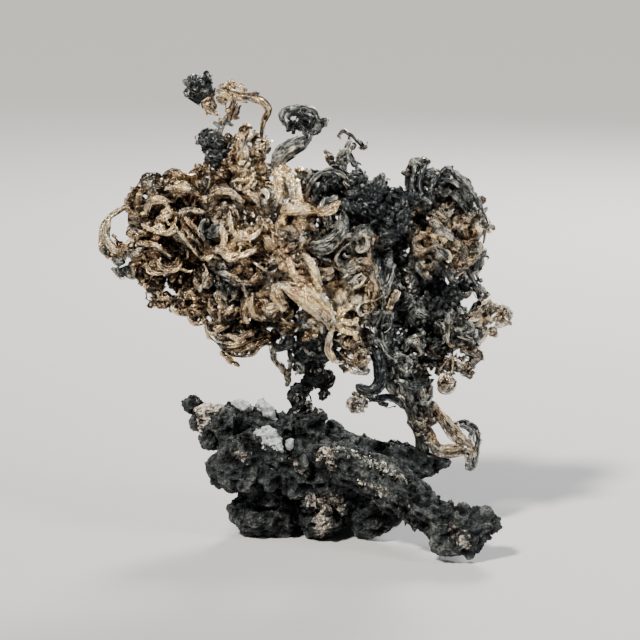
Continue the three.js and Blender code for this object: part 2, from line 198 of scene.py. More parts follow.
# %% Place along and round a path
def grain_of(rings, stretch):
    """A place for striations to follow: length along the path, squeezed, then the two offsets of
    the point from the path's middle line."""
    middle = rings.mean(axis=2, keepdims=True)
    length = np.cumsum(np.linalg.norm(np.gradient(middle, axis=1), axis=-1), axis=1)
    angle = ring_angles(rings.shape[2])
    reach = np.linalg.norm(rings - middle, axis=-1)
    return np.stack([length * stretch + 0 * reach, reach * np.cos(angle), reach * np.sin(angle)], axis=-1)


# %% Faces of one path
def tube_faces(steps, sides):
    """Corner numbers of the faces: squares between neighbouring rings, and a fan of triangles
    from one more point at each end."""
    ring, place = np.meshgrid(np.arange(steps), np.arange(sides), indexing="ij")
    after = (place + 1) % sides
    here, ahead = ring * sides, (ring + 1) * sides
    corners = (here + place, here + after, ahead + after, ahead + place)
    quads = np.stack(corners, axis=-1)[:-1].reshape(-1, 4)
    left, right = place[0], after[0]
    far = (steps - 1) * sides
    first_tip, last_tip = (np.full(sides, steps * sides + k) for k in range(2))
    first = np.stack([first_tip, right, left], axis=-1)
    last = np.stack([last_tip, far + left, far + right], axis=-1)
    return quads, np.concatenate([first, last])


# %% Map of one path
def corner_places(corners):
    """The two coordinates of each corner, side by side."""
    return np.stack([np.stack(corner, axis=-1) for corner in corners], axis=-2)


def tube_map(steps, sides):
    """Places of the same corners on a tile from 0 to 1: along the path to the right, round the
    ring upwards, and one column for the fan at each side."""
    ring, place = np.meshgrid(np.arange(steps), np.arange(sides), indexing="ij")
    du, dv = 1 / (steps + 1), 1 / sides
    u, v = (ring + 1) * du, place * dv
    low, left, right = v[0], np.zeros(sides), np.ones(sides)
    square = ((u, v), (u, v + dv), (u + du, v + dv), (u + du, v))
    first = ((left, low + dv / 2), (left + du, low + dv), (left + du, low))
    last = ((right, low + dv / 2), (right - du, low), (right - du, low + dv))
    quads = corner_places(square)[:-1].reshape(-1, 4, 2)
    return quads, np.concatenate([corner_places(first), corner_places(last)])


# %% Skin over rings
def closed(values):
    """Values on rings, followed by each path's two tips, which take the mean of their ring."""
    count, width = len(values), values.shape[-1]
    tips = values[:, [0, -1]].mean(axis=2)
    return np.concatenate([values.reshape(count, -1, width), tips], axis=1).reshape(-1, width)


def skin(rings, tone, tarnish, rust=0.0, stretch=0.2, seed=0):
    """The closed skin over rings, with its values at every point. Each path owns one tile of the
    map, and its striations start at a random place."""
    count, steps, sides = rings.shape[:3]
    quads, tris = tube_faces(steps, sides)
    quad_map, tri_map = tube_map(steps, sides)
    start = (np.arange(count) * (steps * sides + 2))[:, None, None]
    shift = np.random.default_rng(seed + 5).uniform(0, 50, (count, 1, 1, 3))

    def everywhere(value):
        return closed(np.broadcast_to(value, (count, steps, sides))[..., None])[:, 0]

    return {
        "points": closed(rings),
        "facing": unit(closed(outward(rings))),
        "grain": closed(grain_of(rings, stretch) + shift),
        "tone": everywhere(tone),
        "tarnish": everywhere(tarnish),
        "rust": everywhere(rust),
        "quads": (quads[None] + start).reshape(-1, 4),
        "tris": (tris[None] + start).reshape(-1, 3),
        "quad_map": np.broadcast_to(quad_map, (count, *quad_map.shape)).reshape(-1, 4, 2),
        "tri_map": np.broadcast_to(tri_map, (count, *tri_map.shape)).reshape(-1, 3, 2),
        "quad_tile": np.repeat(np.arange(count), len(quads)),
        "tri_tile": np.repeat(np.arange(count), len(tris)),
        "tiles": count,
    }


print("points and squares of the sample:", [len(skin(SAMPLE, 0.5, 0)[key]) for key in ("points", "quads")])


# %% Several skins as one
POINT_VALUES = ("points", "facing", "grain", "tone", "tarnish", "rust")


def joined(skins):
    """Skins end to end: each one's faces are moved up by the number of points before it, and its
    tiles by the number of tiles before it."""
    points_before = np.cumsum([0] + [len(s["points"]) for s in skins])
    tiles_before = np.cumsum([0] + [s["tiles"] for s in skins])
    plain = (*POINT_VALUES, "quad_map", "tri_map")
    whole = {key: np.concatenate([s[key] for s in skins]) for key in plain}
    for key in ("quads", "tris"):
        whole[key] = np.concatenate([s[key] + n for s, n in zip(skins, points_before)])
    for key in ("quad_tile", "tri_tile"):
        whole[key] = np.concatenate([s[key] + n for s, n in zip(skins, tiles_before)])
    whole["tiles"] = int(tiles_before[-1])
    return whole


# %% Skin to Blender mesh
MAP_MARGIN = 0.06  # bare edge of each tile


def on_tiles(places, tile, tiles):
    """Places from 0 to 1 moved onto their tile of a square sheet of tiles."""
    columns = math.ceil(math.sqrt(tiles))
    corner = np.stack([tile % columns, tile // columns], axis=-1)[:, None]
    return (corner + MAP_MARGIN + places * (1 - 2 * MAP_MARGIN)) / columns


def mesh_of(name, whole, smooth):
    """A Blender mesh with a skin's points and faces, its map, and its values at the points."""
    mesh = bpy.data.meshes.new(name)
    quads, tris = whole["quads"], whole["tris"]
    loops = np.concatenate([quads.reshape(-1), tris.reshape(-1)])
    totals = np.concatenate([np.full(len(quads), 4), np.full(len(tris), 3)])
    mesh.vertices.add(len(whole["points"]))
    mesh.vertices.foreach_set("co", (whole["points"] * MM).astype(np.float32).reshape(-1))
    mesh.loops.add(len(loops))
    mesh.loops.foreach_set("vertex_index", loops.astype(np.int32))
    mesh.polygons.add(len(totals))
    mesh.polygons.foreach_set("loop_start", (np.cumsum(totals) - totals).astype(np.int32))
    mesh.polygons.foreach_set("use_smooth", np.full(len(totals), smooth))
    mesh.update(calc_edges=True)
    sheet = mesh.uv_layers.new(name="OFBake")
    quad_places = on_tiles(whole["quad_map"], whole["quad_tile"], whole["tiles"])
    tri_places = on_tiles(whole["tri_map"], whole["tri_tile"], whole["tiles"])
    places = np.concatenate([quad_places.reshape(-1), tri_places.reshape(-1)])
    sheet.data.foreach_set("uv", places.astype(np.float32))
    for key in ("tone", "tarnish", "rust"):
        values = mesh.attributes.new(key, "FLOAT", "POINT")
        values.data.foreach_set("value", whole[key].astype(np.float32))
    grain = mesh.attributes.new("grain", "FLOAT_VECTOR", "POINT")
    grain.data.foreach_set("vector", whole["grain"].astype(np.float32).reshape(-1))
    return mesh


# %% One piece
def placed(item):
    """An object, put in the scene."""
    bpy.context.scene.collection.objects.link(item)
    return item


def build_piece(name, whole, material, smooth=True):
    """Makes one piece of the specimen from its skin and puts it in place of its plain solid.
    Returns its number of triangles."""
    mesh = mesh_of(name, whole, smooth)
    mesh.materials.append(material)
    piece = placed(bpy.data.objects.new(name, mesh))
    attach(piece, ROOT)
    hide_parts(name)
    return 2 * len(whole["quads"]) + len(whole["tris"])


# %% [markdown]
# ## Drawn wires
#
# The big wires give the bush its character, so each is drawn: a few points with a half width at
# each, and a smooth curve through them. Close up a wide ribbon is a bundle of fibres that grew
# together, so each drawn ribbon is a flat body with raised fibres laid along it.

# %% A smooth curve through points
def smooth_line(points, steps):
    """A curve through points, each (x, y, z, half width): on each span the four points round it
    are blended by cubic weights, so that it passes through every point without a corner."""
    held = np.array([points[0], *points, points[-1]], float)
    along = np.linspace(0, len(points) - 1, steps)
    span = np.minimum(along.astype(int), len(points) - 2)
    t = (along - span)[:, None]
    before, start, end, after = (held[span + k] for k in range(4))
    return 0.5 * (
        2 * start
        + (end - before) * t
        + (2 * before - 5 * start + 4 * end - after) * t**2
        + (3 * start - before - 3 * end + after) * t**3
    )


# %% Colour by place
# Each spot is (x, z, radius, strength), seen from the front. The cream spots are partly paler silver
# and partly painted highlight. Fewer curls sit in a gap, so that the dark inside shows, which is
# partly painted shade from black curls behind it.
TARNISHED = np.array([
    (3.1, 56.5, 3, 0.3), (10.5, 54.2, 4, 0.5), (13.3, 45.4, 3.5, 0.35), (12.5, 35.8, 3, 0.2),
    (10.9, 27.8, 4, 0.4), (16.4, 32.6, 4, 0.1), (21, 57.4, 4.5, 0.25), (27, 53.4, 3.5, 0.15),
    (27.3, 45.4, 3, 0.15), (21, 40.2, 3.6, 0.6), (5.5, 50.2, 3.5, 0.2), (-14.8, 49.8, 1.5, 0.7),
    (-12, 41.9, 3, 0.3), (-28.8, 43.8, 1.2, 0.5), (-1.6, 25.4, 4, 0.4), (6.3, 44.6, 2, 0.3),
    (-22, 56.5, 2.5, 0.2), (18, 57.5, 3, 0.2), (-0.6, 66.8, 2.6, 0.45),
])
CREAM_AND_HIGHLIGHT = np.array([
    (-11.5, 48, 2.6, 0.3), (-9, 50, 2, 0.2), (-24, 53.5, 3, 0.12), (22, 48.5, 5, 0.18),
    (8, 40.5, 3, 0.25), (4, 39, 2.5, 0.25), (-9, 44, 3, 0.12), (28, 35, 3, 0.15), (-8.6, 58.6, 2.6, 0.5),
    (1.5, 40.5, 2.6, 0.22), (-2.2, 53.4, 2.4, 0.2), (-3, 59, 1.6, 0.1), (-19, 57, 2, 0.3),
])
ORANGE = np.array([
    (-1, 51.2, 2.2, 0.8), (-18, 50.5, 1.8, 0.8), (-23, 47, 1.6, 0.6), (-8, 37.5, 2.4, 0.5),
    (24.5, 50.5, 2.2, 0.2), (13.5, 40, 1.6, 0.4), (9, 46, 2.2, 0.35), (20, 46, 2, 0.15),
])
GAPS = np.array([
    (-24.5, 50.3, 1.3, 1), (-18.7, 54.2, 1.2, 1), (-19.5, 45.4, 1.2, 1), (-16.5, 44.4, 1.1, 1),
    (-14.5, 39.8, 1.4, 1), (-6.8, 46.5, 1.2, 1), (-9, 52.2, 1.6, 1), (-5, 51.7, 1.3, 1), (4, 47, 1.4, 1),
    (14.8, 44.5, 1.3, 1), (10.5, 38.4, 1.1, 1), (7.3, 37.4, 1, 1), (15, 36.4, 1.3, 1),
    (-1.5, 37.2, 1.2, 1), (19, 40.5, 1.6, 1), (18.5, 51, 1.4, 1), (-3.4, 41, 1.2, 1), (-21, 49, 0.9, 1),
    (1.6, 39.4, 1.2, 1), (-11, 58, 1, 1), (3.6, 45.3, 1.1, 1), (6.2, 45.6, 1.2, 1), (8.6, 41.8, 0.9, 1),
])


def spots(points, table):
    """Soft round spots seen from the front: each adds its strength times e to the power of minus
    its distance over its radius, squared."""
    away = points[..., None, [0, 2]] - table[:, :2]
    return (table[:, 3] * np.exp(-(away**2).sum(-1) / table[:, 2] ** 2)).sum(-1)


def coloured(rings, tone, tarnish, seed, **more):
    """A skin whose tone, tarnish and rust are its own values, plus slow noise, plus the spots."""
    # Cream spots raise the tone: partly paler silver, partly painted highlight.
    tone = tone + 0.16 * rolling(rings, 3.0, seed + 7) + spots(rings, CREAM_AND_HIGHLIGHT)
    tarnish = tarnish + 0.22 * rolling(rings, 2.6, seed + 8) + spots(rings, TARNISHED)
    rust = 0.4 * rolling(rings, 3.4, seed + 9) + spots(rings, ORANGE)
    return skin(rings, tone, tarnish, rust, seed=seed, **more)


print("spots of tarnish, cream, orange and gaps:", [len(t) for t in (TARNISHED, CREAM_AND_HIGHLIGHT, ORANGE, GAPS)])


# %% Fibres along ribbons
def fibre_rings(centre, half, towards, rng, seed, each, flat):
    """Rings of the fibres on ribbons. A fibre keeps to a fixed place across its ribbon, wanders by
    slow noise, and starts and ends early or late."""
    lines, steps = half.shape
    owner = np.repeat(np.arange(lines), each)
    count = len(owner)
    run = np.linspace(0, 1, steps)[None, :]
    _, side, through = carried_frames(centre, towards)
    begin, end = 0.5 * rng.random((count, 1)) ** 2, 1 - 0.5 * rng.random((count, 1)) ** 2
    place = (begin + (end - begin) * run) * (steps - 1)
    low = np.minimum(place.astype(int), steps - 2)
    part = (place - low)[..., None]

    def read(values):
        return values[owner[:, None], low] * (1 - part) + values[owner[:, None], low + 1] * part

    middle, width = read(centre), read(half[..., None])[..., 0]
    seat = np.tile(np.linspace(-0.9, 0.9, each), lines)[:, None] + rng.normal(0, 0.12, (count, 1))
    wander = rolling(middle + rng.uniform(0, 90, (count, 1, 3)), 3.0, seed + 11)
    across = np.clip(seat + 0.8 * wander, -1.05, 1.05)
    rise = np.sqrt(np.clip(1.15 - across**2, 0, 1)) * flat
    rise = rise * np.where(rng.random((count, 1)) < 0.7, 1, -1)
    middle = middle + (across * width)[..., None] * read(side) + (rise * width)[..., None] * read(through)
    taper = np.clip(np.sin(np.pi * run), 0.03, 1) ** 0.4
    thin = rng.uniform(0.14, 0.42, (count, 1)) * np.clip(width, 0.35, 1.1) ** 0.7 * taper
    thin = thin * (1 + 0.35 * rolling(middle, 0.8, seed + 4))
    rings = ribbon_rings(middle, thin, thin * 0.7, towards[owner], 4, seed + 1, twist=0.6, gutter=0.2)
    return crumpled(rings, 0.1, 0.5, seed + 2)


# %% Drawn ribbons
def drawn_wires(
    lines, seed, tone=0.5, tarnish=0.1, flat=0.5, sides=10, steps=30, each=5, facing=(0, -1, 0.2),
    rough=0.16,
):
    """The skins of drawn wires: the ribbons' bodies, rounded off at their ends, and so many
    fibres on each. Fibres vary in brightness, and one in five is blacker."""
    rng = np.random.default_rng(seed)
    path = np.stack([smooth_line(line, steps) for line in lines])
    centre, half = path[..., :3], np.maximum(path[..., 3], 0.1)
    towards = np.broadcast_to(np.array(facing, float), (len(lines), 3))
    centre = centre + 0.18 * np.stack([rolling(centre, 1.8, seed + k) for k in range(3)], axis=-1)
    run = np.linspace(0, 1, steps)[None, :]
    rounding = np.sqrt(np.clip(1 - np.abs(2 * run - 1) ** 12, 0.015, 1))
    body = half * rounding * (1 + 0.2 * rolling(centre, 1.1, seed))
    rings = ribbon_rings(centre, body, body * flat, towards, sides, seed, twist=0.25)
    relief = rough * rolling(rings, 0.6, seed)
    rings = crumpled(rings, 0.28, 1.5, seed + 5)
    rings = pushed(rings, relief)
    # Bumps of the relief are painted lighter and dents darker: painted light and shade.
    shade = tone - 0.1 + rng.normal(0, 0.06, (len(lines), 1, 1)) + 1.5 * relief
    bodies = coloured(rings, shade, tarnish, seed)
    rings = fibre_rings(centre, half, towards, rng, seed, each, flat)
    shade = tone + rng.normal(0, 0.2, (len(rings), 1, 1))
    black = tarnish + 0.5 * (rng.random((len(rings), 1, 1)) < 0.2)
    return [bodies, coloured(rings, shade, black, seed + 3)]


SAMPLE_WIRE = [[(0, 0, 0, 1), (3, 0, 4, 1)]]
print("bodies and fibres of a sample wire:", [part["tiles"] for part in drawn_wires(SAMPLE_WIRE, seed=1)])

# %% [markdown]
# ## Tangles
#
# Between the big wires the bush is a tangle of small curls, too many to draw. A lobe is described
# by a handful of balls, and curls are grown over them. A curl's heading turns steadily and coils at
# its ends, so it makes the loops and hooks that wire silver has. It leans along the ball's surface,
# and whatever would leave the lobe is drawn back in. Deeper curls show black in the gaps, partly
# because nothing rubs the sulphide off them and partly as painted shade.

# %% How far inside a lobe
def below_surface(points, balls):
    """How deep points lie below the surface of a lobe's balls, and the direction out of the
    nearest ball. It's the largest of radius less distance over all the balls."""
    away = points[..., None, :] - balls[:, :3]
    distance = np.linalg.norm(away, axis=-1)
    depth = balls[:, 3] - distance
    nearest = depth.argmax(axis=-1)[..., None]
    way = np.take_along_axis(away, nearest[..., None], axis=-2)[..., 0, :]
    return np.take_along_axis(depth, nearest, axis=-1)[..., 0], unit(way)


# A ball of 3 mm, on which the next prints try each layer.
SAMPLE_BALL = np.array([[0, 0, 0, 3.0]])
near_and_far = np.array([[0, 0, 1], [0, 0, 5]])
print("depths at 1 and 5 mm from its middle:", below_surface(near_and_far, SAMPLE_BALL)[0])


# %% Where curls sit
def curl_seats(balls, count, rng, deep, front, clear=1.0):
    """Places for curls: random directions from the balls' centres, kept where they lie within the
    wanted depths of the lobe's surface, clear of the gaps, and more often on the front."""
    many = count * 14
    weight = balls[:, 3] ** 2
    ball = balls[rng.choice(len(balls), many, p=weight / weight.sum())]
    way = unit(rng.normal(size=(many, 3)))
    seat = ball[:, :3] + way * (ball[:, 3] * rng.uniform(0.05, 1.0, many) ** 0.5)[:, None]
    depth, out = below_surface(seat, balls)
    chance = np.where(way[:, 1] < 0.25, front, 1 - front)
    gaps = GAPS * np.array([1, 1, clear, 1])
    chance = chance * (1 - np.clip(1.4 * spots(seat, gaps), 0, 1) * (seat[:, 1] < 1.5) * (depth < 2.4))
    keep = (depth > deep[0]) & (depth < deep[1]) & (rng.random(many) < chance)
    chosen = np.flatnonzero(keep)[:count]
    return seat[chosen], out[chosen], ball[chosen, 3]


seats = curl_seats(SAMPLE_BALL, 20, np.random.default_rng(1), deep=(0, 2), front=0.6)[0]
print("seats on the sample ball:", len(seats), "furthest out:", np.linalg.norm(seats, axis=1).max().round(2))


# %% Curl paths
def curl_paths(seat, out, radius, rng, length, turn, lift, steps):
    """Paths of curls. At s from 0 to 1 along a curl its heading is a start, plus a steady turn, a
    slow wave, and a cubic that coils both ends. Its climb is another wave. The steps are summed
    into a path, centred on its seat, and bent down by its squared distance over twice the ball's
    radius, so that it wraps the ball."""
    count = len(seat)
    s = np.linspace(0, 1, steps)[None, :]

    def draw(low, high):
        return rng.uniform(low, high, (count, 1))

    across = unit(np.cross(out, rng.normal(size=(count, 3))))
    over = np.cross(out, across)
    sign = np.where(rng.random((count, 1)) < 0.5, -1.0, 1.0)
    heading = draw(0, 6.3) + sign * draw(*turn) * (s - 0.5)
    heading += draw(0.1, 0.9) * np.sin(6.3 * draw(0.6, 1.6) * s + draw(0, 6.3))
    heading += sign * draw(0.0, 1.6) * (2 * s - 1) ** 3
    climb = draw(-lift, lift) + draw(0.1, lift) * np.sin(6.3 * draw(0.5, 1.4) * s + draw(0, 6.3))
    flat = np.cos(climb)
    step = (
        (flat * np.cos(heading))[..., None] * across[:, None]
        + (flat * np.sin(heading))[..., None] * over[:, None]
        + np.sin(climb)[..., None] * out[:, None]
    )
    path = np.cumsum(step * (draw(*length) / steps)[..., None], axis=1)
    path -= path.mean(axis=1, keepdims=True)
    outwards = (path * out[:, None]).sum(-1, keepdims=True)
    sideways = ((path - outwards * out[:, None]) ** 2).sum(-1, keepdims=True)
    return seat[:, None] + path - out[:, None] * sideways / (2 * radius[:, None, None] + 1)


# %% A tangle
def tangle(
    balls, count, seed, length=(4, 10), half=(0.3, 0.85), turn=(1.5, 5.5), lift=0.7, deep=(0, 2.2),
    front=0.62, tone=0.48, tarnish=0.1, flat=(0.2, 0.5), sides=5, steps=11, slack=0.3,
):
    """The skin of a lobe's curls. Each gets a length, half width and flatness from the given
    ranges, tapers at its ends, and has ragged edges."""
    rng = np.random.default_rng(seed)
    balls = np.array(balls, float)
    seat, out, radius = curl_seats(balls, count, rng, deep, front)
    count = len(seat)
    plump = rng.random((count, 1)) ** 1.7
    path = curl_paths(seat, out, radius, rng, length, turn, lift, steps)
    path = seat[:, None] + (path - seat[:, None]) * (1.15 - 0.55 * plump)[..., None]
    depth, way = below_surface(path, balls)
    path = path - way * (np.maximum(-depth - slack, 0) * 0.85)[..., None]
    s = np.linspace(0, 1, steps)[None, :]
    width = half[0] + (half[1] - half[0]) * plump
    taper = np.clip(np.sin(np.pi * s), 0.02, 1) ** rng.uniform(0.25, 0.7, (count, 1))
    wide = width * taper * (1 + 0.4 * rolling(path, 0.9, seed + 1))
    thick = wide * rng.uniform(*flat, (count, 1))
    rings = ribbon_rings(path, wide, thick, out, sides, seed, twist=0.8, gutter=0.35)
    relief = 0.16 * rolling(rings, 0.55, seed + 2)
    rings = crumpled(rings, 0.2, 1.2, seed + 5)
    rings = pushed(rings, relief)
    # Bumps of the relief are painted lighter and dents darker: painted light and shade.
    shade = tone + 0.8 * relief + rng.normal(0, 0.12, (count, 1, 1))
    return coloured(rings, shade, tarnish, seed)


print("points of curls on the sample ball:", len(tangle(SAMPLE_BALL, 20, seed=1)["points"]))


# %% Clods under the curls
def clods(
    balls, count, seed, size=(0.6, 1.15), deep=(0.3, 1.7), tone=0.48, tarnish=0.06, front=0.62, fold=0.42
):
    """The skin of crumpled lumps that fill a lobe under its curls, each a long ball with uneven
    radii, bent down at its ends over the lobe. It's pushed in and out by folds, which are the size
    of rolling noise read on a place that is squeezed along its length, so the folds run that way.
    Crests are painted bright and folds dark, as painted highlight and painted shade."""
    rng = np.random.default_rng(seed)
    seat, out, radius = curl_seats(np.array(balls, float), count, rng, deep, front, 1.3)
    count, steps, sides = len(seat), 7, 9
    polar = np.linspace(0.15, np.pi - 0.15, steps)[None, :, None]
    angle = ring_angles(sides)
    across = unit(np.cross(out, rng.normal(size=(count, 3))))
    over = np.cross(out, across)
    small = np.clip(radius / 2.2, 0.5, 1)[:, None, None]
    radii = small * rng.uniform(*size, (count, 1, 1)) * rng.uniform(0.7, 1.3, (3, count, 1, 1))
    along = -1.8 * radii[0] * np.cos(polar)
    swell = 1 + 0.25 * np.sin(6.3 * rng.random((count, 1, 1)) + 2.2 * along)
    sideways = radii[1] * swell * np.sin(polar) * np.cos(angle) + 0.5 * radii[1] * np.sin(1.3 * along)
    upwards = -0.8 * radii[2] * swell * np.sin(polar) * np.sin(angle) - 0.16 * along**2
    place = np.stack([0.45 * along + 0 * angle, sideways, upwards], axis=-1)
    place = place + rng.uniform(0, 60, (count, 1, 1, 3))
    relief = fold * (0.3 - np.abs(rolling(place, 0.6, seed + 1)))
    relief = relief + 0.4 * fold * rolling(place, 1.2, seed + 3)
    rings = seat[:, None, None]
    for offset, way in zip((along + 0 * angle, sideways, upwards), (across, over, out)):
        rings = rings + offset[..., None] * way[:, None, None]
    rings = pushed(rings, relief)
    # The tone follows the folds: painted highlight on crests, painted shade in folds.
    shade = tone + 0.55 * relief / fold + rng.normal(0, 0.08, (count, 1, 1))
    return coloured(rings, shade, tarnish, seed)


print("points of clods on the sample ball:", len(clods(SAMPLE_BALL, 20, seed=1)["points"]))


# %% Nuggets between the curls
def nuggets(balls, count, seed, size=(0.25, 0.7), deep=(0, 1.4), tone=0.45, tarnish=0.1, front=0.62):
    """The skin of small crumpled lumps that sit among a lobe's curls: little balls with three
    uneven radii, whose rings follow a half circle from pole to pole."""
    rng = np.random.default_rng(seed)
    seat, out, _ = curl_seats(np.array(balls, float), count, rng, deep, front)
    count, steps, sides = len(seat), 3, 5
    polar = np.linspace(0.5, np.pi - 0.5, steps)[None, :, None]
    angle = ring_angles(sides)
    across = unit(np.cross(out, rng.normal(size=(count, 3))))
    radii = rng.uniform(*size, (3, count, 1, 1))
    rings = seat[:, None, None] + (
        (radii[0] * np.sin(polar) * np.cos(angle))[..., None] * across[:, None, None]
        + (radii[1] * np.sin(polar) * np.sin(angle))[..., None] * np.cross(out, across)[:, None, None]
        - (radii[2] * np.cos(polar) + 0 * angle)[..., None] * out[:, None, None]
    )
    rings = crumpled(rings, 0.22, 0.6, seed + 2)
    return coloured(rings, tone + rng.normal(0, 0.16, (count, 1, 1)), tarnish, seed)


print("points of nuggets on the sample ball:", len(nuggets(SAMPLE_BALL, 20, seed=1)["points"]))


# %% Curls along drawn wires
def dressed(lines, count, seed, reach=0.4, **look):
    """Small curls that cling to drawn wires: points along the wires stand in for a lobe's balls."""
    path = np.concatenate([smooth_line(line, 12) for line in lines])
    balls = path + np.array([0, 0, 0, reach])
    small = {"length": (1.5, 4), "half": (0.16, 0.4), "turn": (2, 8), "deep": (-0.2, 1.2)}
    return tangle(balls, count, seed, **{**small, "sides": 5, "steps": 10, "slack": 0.1, **look})


print("curls that cling to the sample wire:", dressed(SAMPLE_WIRE, 20, seed=1)["tiles"])


# %% [markdown]
# ## Materials
#
# Silver straight from the ground is never plain silver. The wires are a warm champagne where
# they're clean, cream on the ridges that rub, brown in the hollows, and slate grey to black where
# the sulphide still coats them. The cream ridges and brown hollows are partly wear and partly
# painted highlight and painted shade. One node group works that out from the striations along the
# wires, so that the lines that catch the light are also the clean ones.

# %% Node helpers
def new_node(tree, kind, **settings):
    """A shader node with its settings and its unlinked inputs' values."""
    node = tree.nodes.new("ShaderNode" + kind)
    for key, value in settings.items():
        if key in node.inputs:
            node.inputs[key].default_value = value
        else:
            setattr(node, key, value)
    return node


def ramp(tree, factor, stops):
    """A colour ramp fed by a factor; stops are (place, colour) pairs."""
    node = tree.nodes.new("ShaderNodeValToRGB")
    while len(node.color_ramp.elements) < len(stops):
        node.color_ramp.elements.new(0.5)
    for element, (place, colour) in zip(node.color_ramp.elements, stops):
        element.position = place
        element.color = (*colour, 1)
    tree.links.new(factor, node.inputs["Fac"])
    return node.outputs["Color"]


def mixed(tree, factor, first, second):
    """Two colours mixed. Each is a socket or a fixed colour."""
    node = tree.nodes.new("ShaderNodeMix")
    node.data_type = "RGBA"
    sockets = (node.inputs["Factor"], node.inputs[6], node.inputs[7])
    for socket, value in zip(sockets, (factor, first, second)):
        if isinstance(value, bpy.types.NodeSocket):
            tree.links.new(value, socket)
        elif socket.type == "RGBA":
            socket.default_value = (*value, 1)
        else:
            socket.default_value = value
    return node.outputs[2]


def sums(tree, operation, *values, clamp=False):
    """One step of arithmetic on sockets or numbers."""
    node = tree.nodes.new("ShaderNodeMath")
    node.operation = operation
    node.use_clamp = clamp
    for socket, value in zip(node.inputs, values):
        if isinstance(value, bpy.types.NodeSocket):
            tree.links.new(value, socket)
        else:
            socket.default_value = value
    return node.outputs[0]


def plus(tree, base, value, share, middle=0.5):
    """A base with a share of a value's difference from its middle added."""
    off = sums(tree, "SUBTRACT", value, middle)
    return sums(tree, "ADD", base, sums(tree, "MULTIPLY", off, share))


def weighed(tree, base, *shares):
    """A base with several values added by their shares, given as (value, share) pairs."""
    for value, share in shares:
        base = plus(tree, base, value, share)
    return base


def carried(tree, value, low, high, to_low=0.0, to_high=1.0):
    """A value from one range carried smoothly to another, and held at its ends."""
    node = new_node(tree, "MapRange", interpolation_type="SMOOTHSTEP")
    tree.links.new(value, node.inputs["Value"])
    for key, end in (("From Min", low), ("From Max", high), ("To Min", to_low), ("To Max", to_high)):
        node.inputs[key].default_value = end
    return node.outputs["Result"]


def noise(tree, vector, scale, detail=3.0, roughness=0.6):
    """Noise from 0 to 1 at a place."""
    settings = {"Scale": scale, "Detail": detail, "Roughness": roughness}
    node = new_node(tree, "TexNoise", **settings)
    tree.links.new(vector, node.inputs["Vector"])
    return node.outputs["Fac"]


def mesh_value(tree, name, output="Fac"):
    """A value stored at the mesh's points."""
    return new_node(tree, "Attribute", attribute_name=name).outputs[output]


def bumped(tree, shader, height, depth, strength=1.0):
    """Turns a height into the shader's normal. Depth is in metres."""
    bump = new_node(tree, "Bump", Strength=strength, Distance=depth)
    tree.links.new(height, bump.inputs["Height"])
    tree.links.new(bump.outputs["Normal"], shader.inputs["Normal"])


def new_material(name):
    """An empty material, its node tree and its shader."""
    material = bpy.data.materials.new(name)
    material.use_nodes = True
    return material, material.node_tree, material.node_tree.nodes["Principled BSDF"]


def new_group(name, inputs, outputs):
    """An empty node group with named inputs and outputs; returns its tree and its two end nodes."""
    tree = bpy.data.node_groups.new(name, "ShaderNodeTree")
    for label, kind in inputs:
        tree.interface.new_socket(label, in_out="INPUT", socket_type="NodeSocket" + kind)
    for label, kind in outputs:
        tree.interface.new_socket(label, in_out="OUTPUT", socket_type="NodeSocket" + kind)
    return tree, tree.nodes.new("NodeGroupInput").outputs, tree.nodes.new("NodeGroupOutput").inputs


# %% Group: native silver
# Ramps from hollow to crest, whose dark and pale ends partly serve as painted shade and painted
# highlight: (place, colour).
SILVER_TONES = [
    (0.0, (0.006, 0.002, 0.0008)),
    (0.2, (0.046, 0.026, 0.0145)),
    (0.4, (0.21, 0.143, 0.09)),
    (0.58, (0.48, 0.36, 0.245)),
    (0.76, (0.84, 0.61, 0.34)),
    (1.0, (1.0, 0.81, 0.47)),
]
DULL_TONES = [
    (0.0, (0.004, 0.005, 0.005)),
    (0.2, (0.02, 0.023, 0.022)),
    (0.4, (0.11, 0.118, 0.112)),
    (0.58, (0.29, 0.295, 0.27)),
    (0.76, (0.5, 0.5, 0.455)),
    (1.0, (0.86, 0.84, 0.76)),
]
SULPHIDE_TONES = [
    (0.3, (0.002, 0.003, 0.0035)),
    (0.47, (0.01, 0.0135, 0.015)),
    (0.6, (0.06, 0.07, 0.074)),
    (0.78, (0.42, 0.44, 0.42)),
]
FROST_TONES = [
    (0.3, (0.02, 0.02, 0.02)),
    (0.42, (0.16, 0.14, 0.125)),
    (0.56, (0.45, 0.39, 0.34)),
    (0.75, (0.85, 0.79, 0.7)),
]


def clean_silver(tree, given, level, grit):
    """Colour of silver without sulphide: brown where it has rust, and duller in broad patches."""
    rust = carried(tree, plus(tree, given["Rust"], grit, 1.0), 0.25, 0.9, 0.0, 0.38)
    silver = mixed(tree, rust, ramp(tree, level, SILVER_TONES), (0.42, 0.215, 0.09))
    film = carried(tree, noise(tree, given["Place"], 310, 2), 0.5, 0.66, 0.0, 0.55)
    return mixed(tree, film, silver, ramp(tree, level, DULL_TONES))


